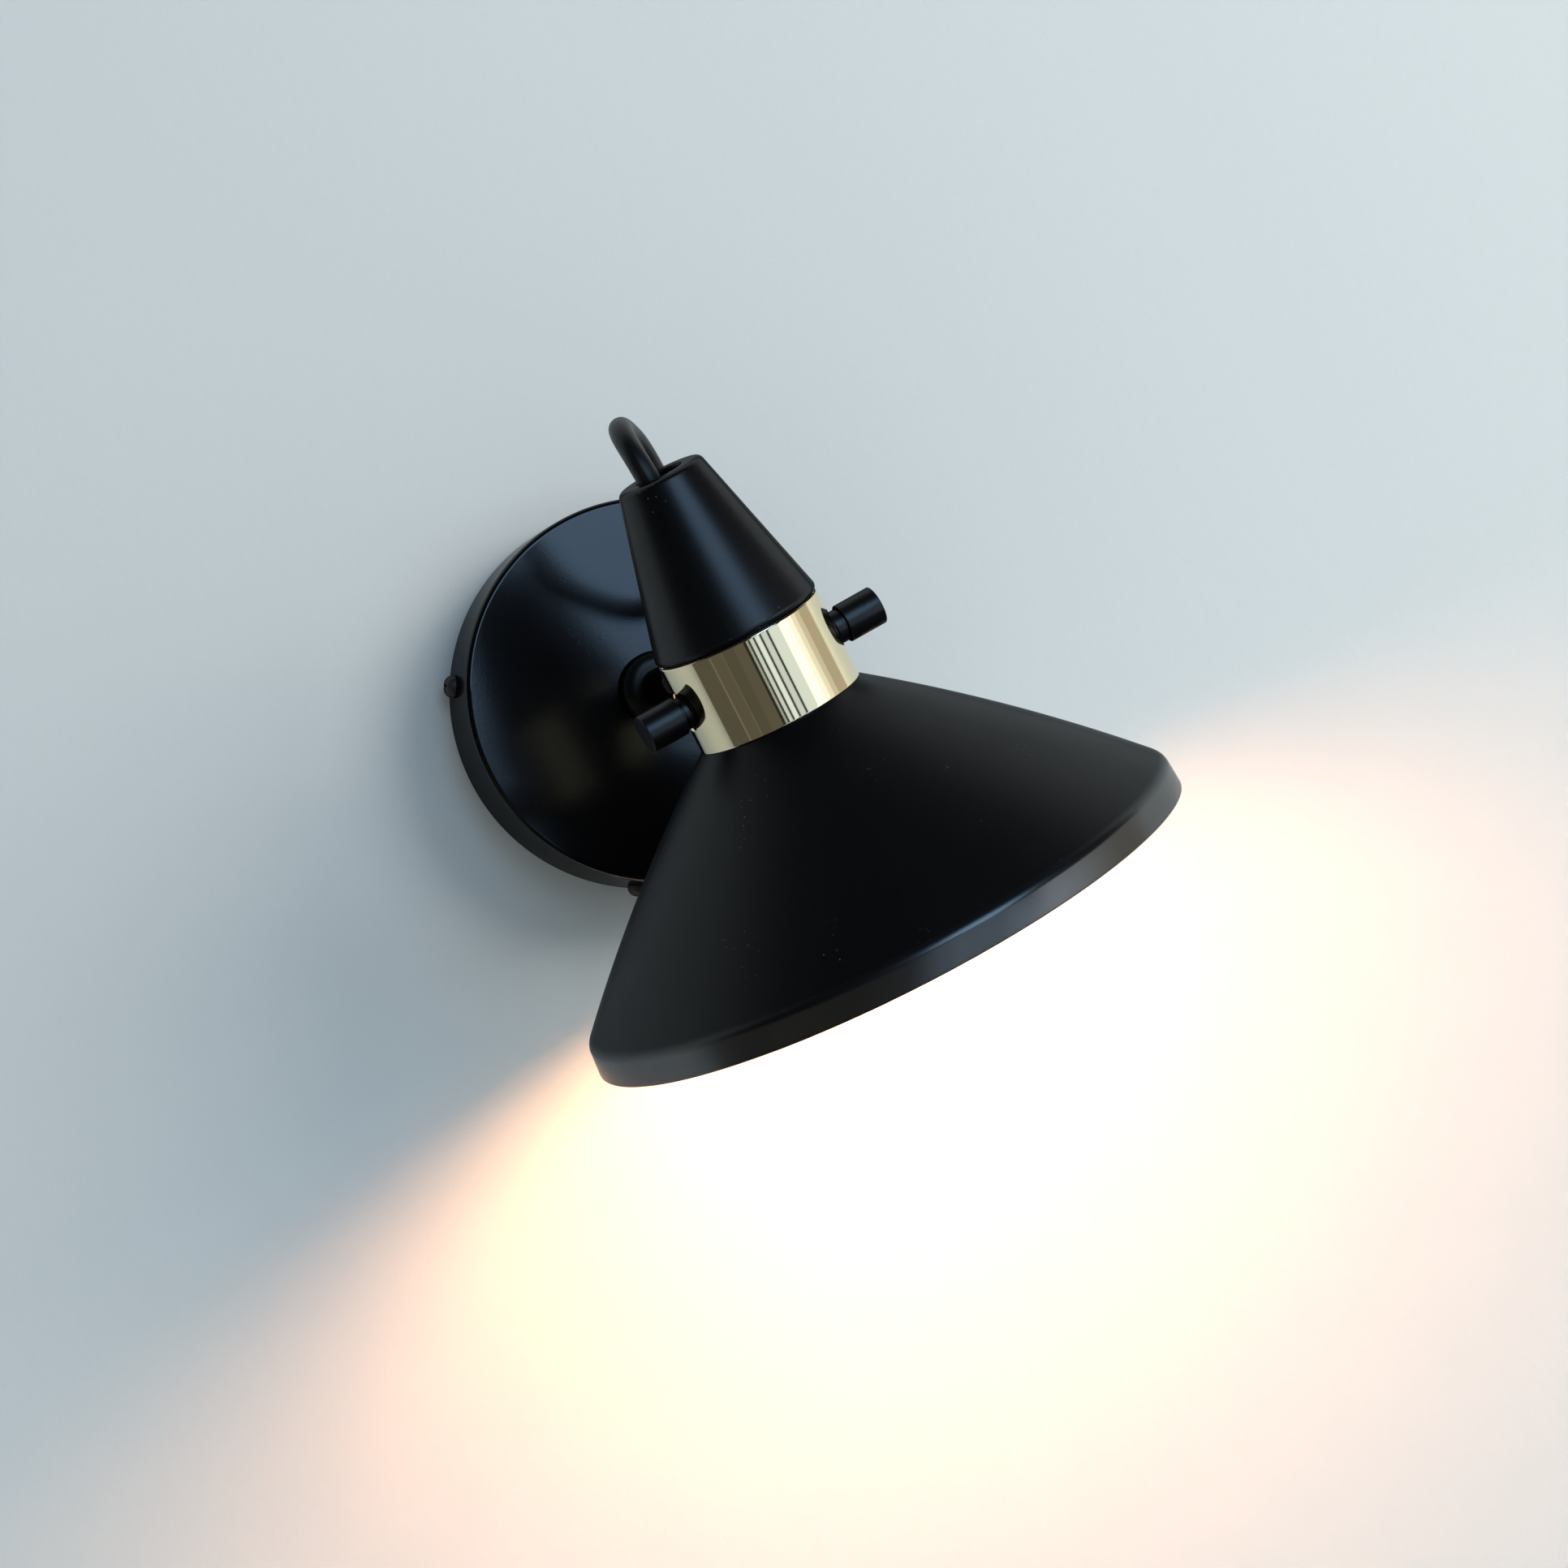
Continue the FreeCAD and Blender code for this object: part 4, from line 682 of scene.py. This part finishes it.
shadeInside = {
    "colour": (0.80, 0.78, 0.73, 1), "dust": (0.35, 0.32, 0.28, 1), "peel": 1200.0, "rough": 0.42,
    "spread": 0.08, "dustShare": 0.3,
}
shadeRim = {"start": -0.0765, "end": -0.0805, "rough": 0.24, "gloss": 1.4}
shadeGrazing = {"start": 0.35, "end": 0.85, "share": 0.08}


def usePaint(tree, look):
    return useGroup(
        tree, sprayedPaint, Colour=look["colour"], PeelScale=look["peel"], Roughness=look["rough"],
        Spread=look["spread"], DustShare=look["dust"],
    )


def paintGloss(tree, gloss, look):
    # Matt paint mirrors less at a glancing view than a smooth coat would.
    facing = addNode(tree, "LayerWeight", {"Blend": 0.5}).outputs["Facing"]
    share = mapRange(tree, facing, look["start"], look["end"], 1.0, look["share"])
    return calc(tree, "MULTIPLY", gloss, share)


def makePaint(name):
    look = finishes[name]
    material, tree, output = newMaterial(name)
    paint = usePaint(tree, look).outputs
    gloss = paintGloss(tree, look["gloss"], grazing)
    principled(
        tree, output, paint["Colour"], paint["Roughness"], paint["Height"], **paintBump,
        Specular_IOR_Level=gloss,
    )
    return material


def makeShadePaint():
    # Black outside, warm white inside: the inside is where the surface faces the head's own axis. A
    # share of the way that it looks along the axis is added, so that a face looking down, such as the
    # rim's lower edge, counts as inside and one looking up as outside.
    look, white = finishes["shadeBlack"], shadeInside
    material, tree, output = newMaterial("shadePaint")
    outside = usePaint(tree, look).outputs
    inside = useGroup(
        tree, sprayedPaint, Colour=white["colour"], Dust=white["dust"], PeelScale=white["peel"],
        Roughness=white["rough"], Spread=white["spread"], DustShare=white["dustShare"],
    ).outputs
    coord = addNode(tree, "TexCoord").outputs
    axis = tuple(headUp.tolist())
    offset, along = fromHead(tree, coord["Object"])
    onAxis = addNode(tree, "VectorMath", {0: axis, "Scale": along}, operation="SCALE").outputs[0]
    radial = vectorCalc(tree, "SUBTRACT", offset, onAxis)
    outward = addNode(tree, "VectorMath", {0: radial}, operation="NORMALIZE").outputs[0]
    facing = vectorCalc(tree, "DOT_PRODUCT", coord["Normal"], outward)
    down = vectorCalc(tree, "DOT_PRODUCT", coord["Normal"], axis)
    turned = calc(tree, "ADD", facing, calc(tree, "MULTIPLY", down, 0.25))
    mask = mapRange(tree, turned, -0.08, 0.02, 1.0, 0.0)
    colour = mixColour(tree, mask, outside["Colour"], inside["Colour"])
    rough = mixNumber(tree, mask, outside["Roughness"], inside["Roughness"])
    # the turned rim is worn smoother and shinier than the bell above it
    rim = mapRange(tree, along, shadeRim["start"], shadeRim["end"], 0.0, 1.0, True)
    rim = calc(tree, "MULTIPLY", rim, calc(tree, "SUBTRACT", 1.0, mask))
    rough = mixNumber(tree, rim, rough, shadeRim["rough"])
    gloss = paintGloss(tree, mixNumber(tree, rim, look["gloss"], shadeRim["gloss"]), shadeGrazing)
    principled(tree, output, colour, rough, outside["Height"], **paintBump, Specular_IOR_Level=gloss)
    return material


# The metals: a colour with stains in it, and fine lines that the scale and the stretch lay out.
metals = {
    "polishedBrass": {
        "colour": (0.87, 0.75, 0.50, 1), "stain": (0.74, 0.62, 0.38, 1), "rough": 0.06, "share": 0.2,
        "spread": 0.03, "stretch": (1.0, 1.0, 1.0), "scale": 140.0, "bump": 0.012,
    },
    "plainBrass": {
        "colour": (0.72, 0.56, 0.27, 1), "stain": (0.45, 0.33, 0.15, 1), "rough": 0.3, "share": 0.6,
        "spread": 0.15, "stretch": (1.0, 1.0, 1.0), "scale": 140.0, "bump": 0.012,
    },
    "zincSteel": {
        "colour": (0.62, 0.63, 0.65, 1), "stain": (0.36, 0.35, 0.33, 1), "rough": 0.34, "share": 0.35,
        "spread": 0.2, "stretch": (1.0, 12.0, 1.0), "scale": 160.0, "bump": 0.05,
    },
    "capMetal": {
        "colour": (0.74, 0.74, 0.74, 1), "stain": (0.36, 0.35, 0.33, 1), "rough": 0.25, "share": 0.35,
        "spread": 0.2, "stretch": (1.0, 1.0, 1.0), "scale": 160.0, "bump": 0.05,
    },
}


def makeMetal(name):
    look = metals[name]
    material, tree, output = newMaterial(name)
    metal = useGroup(
        tree, drawnMetal, Vector=objectPlace(tree), Stretch=look["stretch"], Scale=look["scale"],
        Roughness=look["rough"], Spread=look["spread"], Colour=look["colour"], Stain=look["stain"],
        StainShare=look["share"],
    ).outputs
    principled(
        tree, output, metal["Colour"], metal["Roughness"], metal["Height"], look["bump"], 0.0001,
        Metallic=1.0,
    )
    return material


# Rubber and black plastic. The flex also has faint ribs along its length.
rubbers = {
    "blackRubber": {"colour": (0.014, 0.014, 0.014, 1), "rough": 0.62, "ribs": 0},
    "flexSheath": {"colour": (0.0025, 0.0025, 0.0027, 1), "rough": 0.42, "ribs": 22},
    "blackPlastic": {"colour": (0.02, 0.02, 0.02, 1), "rough": 0.5, "ribs": 0},
}
rubberLook = {"paler": 2.2, "grain": 1400.0, "drift": 70.0, "ribHeight": 1.2, "bump": 0.12, "gloss": 0.45}


def makeRubber(name):
    # Fine grain and slow drifts of shine; the ribs run along the flex, spaced round it by its UV.
    look = rubbers[name]
    material, tree, output = newMaterial(name)
    coord = addNode(tree, "TexCoord").outputs
    height = noise(tree, coord["Object"], rubberLook["grain"], 3.0)
    slow = noise(tree, coord["Object"], rubberLook["drift"], 3.0)
    pale = tuple(min(1, c * rubberLook["paler"]) for c in look["colour"][:3]) + (1,)
    grey = mixColour(tree, mapRange(tree, slow, 0.4, 0.75, 0.0, 0.5), look["colour"], pale)
    shine = mapRange(tree, slow, 0.3, 0.7, look["rough"] - 0.06, look["rough"] + 0.08)
    if look["ribs"]:
        around = addNode(tree, "SeparateXYZ", {"Vector": coord["UV"]}).outputs["X"]
        wave = calc(tree, "SINE", calc(tree, "MULTIPLY", around, 2 * math.pi * look["ribs"]))
        height = calc(tree, "ADD", calc(tree, "MULTIPLY", wave, rubberLook["ribHeight"]), height)
    principled(
        tree, output, grey, shine, height, rubberLook["bump"], 0.0001,
        Specular_IOR_Level=rubberLook["gloss"],
    )
    return material


ceramics = {
    "terminalPlastic": {"colour": (0.78, 0.76, 0.71, 1), "rough": 0.45},
    "holderPorcelain": {"colour": (0.80, 0.78, 0.72, 1), "rough": 0.22},
}
ceramicLook = {"shaded": 0.88, "speck": (0.35, 0.33, 0.3, 1), "coat": 0.3, "coatRough": 0.12}


def makeCeramic(name):
    # A pale body with slow changes of tone, small dark specks and a thin clear glaze.
    look = ceramics[name]
    material, tree, output = newMaterial(name)
    place = objectPlace(tree)
    slow = noise(tree, place, 55.0, 4.0)
    speck = noise(tree, place, 700.0, 2.0)
    shaded = tuple(c * ceramicLook["shaded"] for c in look["colour"][:3]) + (1,)
    tone = mixColour(tree, mapRange(tree, slow, 0.35, 0.7, 0.0, 1.0), look["colour"], shaded)
    dots = mixColour(tree, mapRange(tree, speck, 0.68, 0.74, 0.0, 0.5), tone, ceramicLook["speck"])
    rough = mapRange(tree, slow, 0.3, 0.7, look["rough"], look["rough"] + 0.08)
    principled(
        tree, output, dots, rough, slow, 0.05, 0.0004,
        Coat_Weight=ceramicLook["coat"], Coat_Roughness=ceramicLook["coatRough"],
    )
    return material


# The lit bulb. Its light is a little redder towards the screw cap.
bulbLight = {
    "glass": (0.93, 0.92, 0.89, 1), "rough": (0.28, 0.36), "grain": 900.0, "tipPlace": -0.078,
    "capPlace": -0.026, "tip": (1.0, 0.52, 0.29, 1), "cap": (1.0, 0.46, 0.24, 1), "strength": 165.0,
}


def makeBulbGlass():
    look = bulbLight
    material, tree, output = newMaterial("frostedGlass")
    place = objectPlace(tree)
    along = fromHead(tree, place)[1]
    grain = noise(tree, place, look["grain"], 2.0)
    warm = mapRange(tree, along, look["tipPlace"], look["capPlace"], 0.0, 1.0, True)
    principled(
        tree, output, look["glass"], mapRange(tree, grain, 0.3, 0.7, *look["rough"]), grain, 0.05, 0.0001,
        Emission_Color=mixColour(tree, warm, look["tip"], look["cap"]), Emission_Strength=look["strength"],
    )
    return material


def giveMaterial(obj, material):
    obj.data.materials.clear()
    obj.data.materials.append(material)


paint = {name: makePaint(name) for name in finishes}
shadePaint = makeShadePaint()
metal = {name: makeMetal(name) for name in metals}
rubber = {name: makeRubber(name) for name in rubbers}
ceramic = {name: makeCeramic(name) for name in ceramics}
frosted = makeBulbGlass()

slotMaterials = {
    "satin_black": paint["satinBlack"], "polished_brass": metal["polishedBrass"],
    "brass_plain": metal["plainBrass"], "zinc_steel": metal["zincSteel"], "cap_metal": metal["capMetal"],
    "black_screw": paint["screwPaintedWarmReflection"], "white_plastic": ceramic["terminalPlastic"],
    "black_plastic": rubber["blackPlastic"], "black_rubber": rubber["blackRubber"],
    "flex_black": rubber["flexSheath"], "holder_ceramic": ceramic["holderPorcelain"], "opal_glass": frosted,
}
nodeMaterials = {"wall_plate": paint["plateBlack"]}
slotOf = {row["node"]: row["material_slot"] for row in frame["record"]["subparts"]}
for name, obj in nodes.items():
    giveMaterial(obj, nodeMaterials.get(name, slotMaterials[slotOf[name]]))
for obj in flexPieces:
    giveMaterial(obj, rubber["flexSheath"])
pieceLooks = {
    "capCone": (paint["satinBlack"], "satin_black"), "shadeBell": (shadePaint, "satin_black"),
    "collarBand": (metal["polishedBrass"], "polished_brass"), "bulbGlass": (frosted, "opal_glass"),
    "thumbLeft": (paint["satinBlack"], "satin_black"), "thumbRight": (paint["satinBlack"], "satin_black"),
}
for name, (material, slot) in pieceLooks.items():
    giveMaterial(headPieces[name], material)
print("stage 5: materials")


# A plain wall and floor, in metres. The wall can't be seen from behind, and a round hole in it, which
# the plate covers, lets light from behind reach the plate's inside.
stage = {
    "half": 3.0, "high": 2.5, "hole": 0.052, "sides": 64, "back": 0.0006, "front": -3.5, "floor": -1.1,
    "colour": (0.60, 0.63, 0.615, 1), "grain": 260.0, "bump": 0.15, "distance": 0.0006,
}


def makeWallPaint():
    material, tree, output = newMaterial("wallPaint")
    grain = noise(tree, objectPlace(tree), stage["grain"], 3.0)
    bump = addNode(tree, "Bump", {"Strength": stage["bump"], "Distance": stage["distance"], "Height": grain})
    body = addNode(tree, "BsdfDiffuse", {"Color": stage["colour"], "Normal": bump.outputs["Normal"]})
    clear = addNode(tree, "BsdfTransparent")
    geometry = addNode(tree, "NewGeometry")
    blend = addNode(tree, "MixShader")
    tree.links.new(geometry.outputs["Backfacing"], blend.inputs[0])
    tree.links.new(body.outputs[0], blend.inputs[1])
    tree.links.new(clear.outputs[0], blend.inputs[2])
    tree.links.new(blend.outputs[0], output.inputs["Surface"])
    return material


def makeStage():
    material = makeWallPaint()
    half, floor, back, front, sides = (stage[k] for k in ("half", "floor", "back", "front", "sides"))
    t = np.linspace(0, 2 * math.pi, sides, endpoint=False) + math.pi / sides
    ring = np.stack([np.cos(t), np.sin(t)], -1)
    edge = ring / np.abs(ring).max(1)[:, None] * np.array([half, stage["high"]])
    flat = np.concatenate([ring * stage["hole"], edge])
    points = np.stack([flat[:, 0], np.full(len(flat), back), np.maximum(flat[:, 1], floor)], -1)
    faces = gridFaces(2, sides)
    ground = [(-half, front, floor), (half, front, floor), (half, back, floor), (-half, back, floor)]
    for name, corners, polygons in (
        ("wall", points.tolist(), faces.tolist()),
        ("floor", ground, [(0, 1, 2, 3)]),
    ):
        mesh = bpy.data.meshes.new(name)
        mesh.from_pydata(corners, [], polygons)
        obj = bpy.data.objects.new(name, mesh)
        bpy.context.scene.collection.objects.link(obj)
        mesh.materials.append(material)
        obj.visible_glossy = name == "wall"  # the floor would make the brass too pale
        if obj.data.polygons[0].normal.y > 0.5:
            obj.data.flip_normals()


# The lights are flat strips at one distance from the head. Each spans from one turn to another, in
# degrees to the right of straight ahead, and from one rise to another above the level, and has its own
# brightness. The key only brightens. The others are what the gloss and the brass mirror: a soft sky
# and five strips from the front to the right, five openings that fade towards the wall at the right,
# four dim ones at the left, low down, and one behind the wall for the plate's inside.
lights = {
    "key": {
        "turn": (22, 60), "rise": (14, 46), "bright": 6.9,
        "colour": (1.0, 0.955, 0.89), "mirrored": False,
    },
    "skyPane": {
        "turn": (-12, 20), "rise": (6, 36), "bright": 3.6,
        "colour": (0.43, 0.68, 1.0), "mirrored": True,
    },
    "paneA": {
        "turn": (-4, -1.5), "rise": (-36, -2), "bright": 0.5,
        "colour": (0.75, 0.90, 1.0), "mirrored": True,
    },
    "paneB": {
        "turn": (1, 5), "rise": (-36, -2), "bright": 1.0,
        "colour": (0.66, 0.82, 1.0), "mirrored": True,
    },
    "paneC": {
        "turn": (7.5, 13), "rise": (-30, 0), "bright": 1.25,
        "colour": (0.66, 0.82, 1.0), "mirrored": True,
    },
    "paneD": {
        "turn": (15.5, 22), "rise": (-26, 2), "bright": 1.0,
        "colour": (0.64, 0.80, 1.0), "mirrored": True,
    },
    "paneE": {
        "turn": (24.5, 38), "rise": (-20, 6), "bright": 1.15,
        "colour": (0.66, 0.82, 1.0), "mirrored": True,
    },
    "openingA": {
        "turn": (38, 51), "rise": (-12, 16), "bright": 1.75,
        "colour": (0.80, 0.88, 1.0), "mirrored": True,
    },
    "openingB": {
        "turn": (51, 58), "rise": (-8, 20), "bright": 1.35,
        "colour": (0.85, 0.93, 1.0), "mirrored": True,
    },
    "openingC": {
        "turn": (58, 65), "rise": (-6, 22), "bright": 0.98,
        "colour": (0.95, 0.98, 1.0), "mirrored": True,
    },
    "openingD": {
        "turn": (65, 73), "rise": (-4, 26), "bright": 0.66,
        "colour": (1.0, 1.0, 0.92), "mirrored": True,
    },
    "openingE": {
        "turn": (73, 93), "rise": (-2, 34), "bright": 0.47,
        "colour": (1.0, 0.95, 0.82), "mirrored": True,
    },
    "behind": {
        "turn": (150, 205), "rise": (-10, 40), "bright": 2.2,
        "colour": (1.0, 0.98, 0.95), "mirrored": True,
    },
    "roomA": {
        "turn": (-99, -62), "rise": (-46, -20), "bright": 0.078,
        "colour": (1.0, 0.97, 0.84), "mirrored": True,
    },
    "roomB": {
        "turn": (-62, -40), "rise": (-46, -20), "bright": 0.090,
        "colour": (1.0, 0.97, 0.78), "mirrored": True,
    },
    "roomC": {
        "turn": (-40, -22), "rise": (-44, -18), "bright": 0.074,
        "colour": (1.0, 0.98, 0.80), "mirrored": True,
    },
    "roomD": {
        "turn": (-22, -7), "rise": (-42, -16), "bright": 0.092,
        "colour": (1.0, 0.98, 0.84), "mirrored": True,
    },
}
# The world's light, as the camera sees it, as gloss mirrors it and as it fills the shadows, and the
# strips' distance from the head.
room = {
    "seen": (0.80, 0.85, 0.88, 1), "mirrored": (0.018, 0.019, 0.021, 1),
    "filling": (0.235, 0.24, 0.245, 1), "distance": 2.2,
}


def makeLights():
    reach = room["distance"]
    for name, look in lights.items():
        turn, rise = (math.radians(sum(look[key]) / 2) for key in ("turn", "rise"))
        halfTurn, halfRise = (math.radians(look[key][1] - look[key][0]) / 2 for key in ("turn", "rise"))
        data = bpy.data.lights.new(name, "AREA")
        data.shape = "RECTANGLE"
        data.size = 2 * reach * math.tan(halfTurn) * math.cos(rise)
        data.size_y = 2 * reach * math.tan(halfRise)
        data.energy = look["bright"] * math.pi * data.size * data.size_y
        data.color = look["colour"]
        obj = bpy.data.objects.new(name, data)
        bpy.context.scene.collection.objects.link(obj)
        way = Vector((math.sin(turn) * math.cos(rise), -math.cos(turn) * math.cos(rise), math.sin(rise)))
        obj.location = Vector(headCentre.tolist()) + way * reach
        obj.rotation_euler = (-way).to_track_quat("-Z", "Y").to_euler()
        obj.visible_camera = False
        obj.visible_glossy = look["mirrored"]
    world = bpy.data.worlds.new("studio")
    bpy.context.scene.world = world
    world.use_nodes = True
    tree = world.node_tree
    rays = addNode(tree, "LightPath")
    dim = mixColour(tree, rays.outputs["Is Glossy Ray"], room["filling"], room["mirrored"])
    colour = mixColour(tree, rays.outputs["Is Camera Ray"], dim, room["seen"])
    tree.links.new(colour, tree.nodes["Background"].inputs[0])
    tree.nodes["Background"].inputs[1].default_value = 1.0


makeStage()
makeLights()
bpy.context.scene.view_settings.view_transform = "Standard"
print("stage 6: wall, floor and lights")
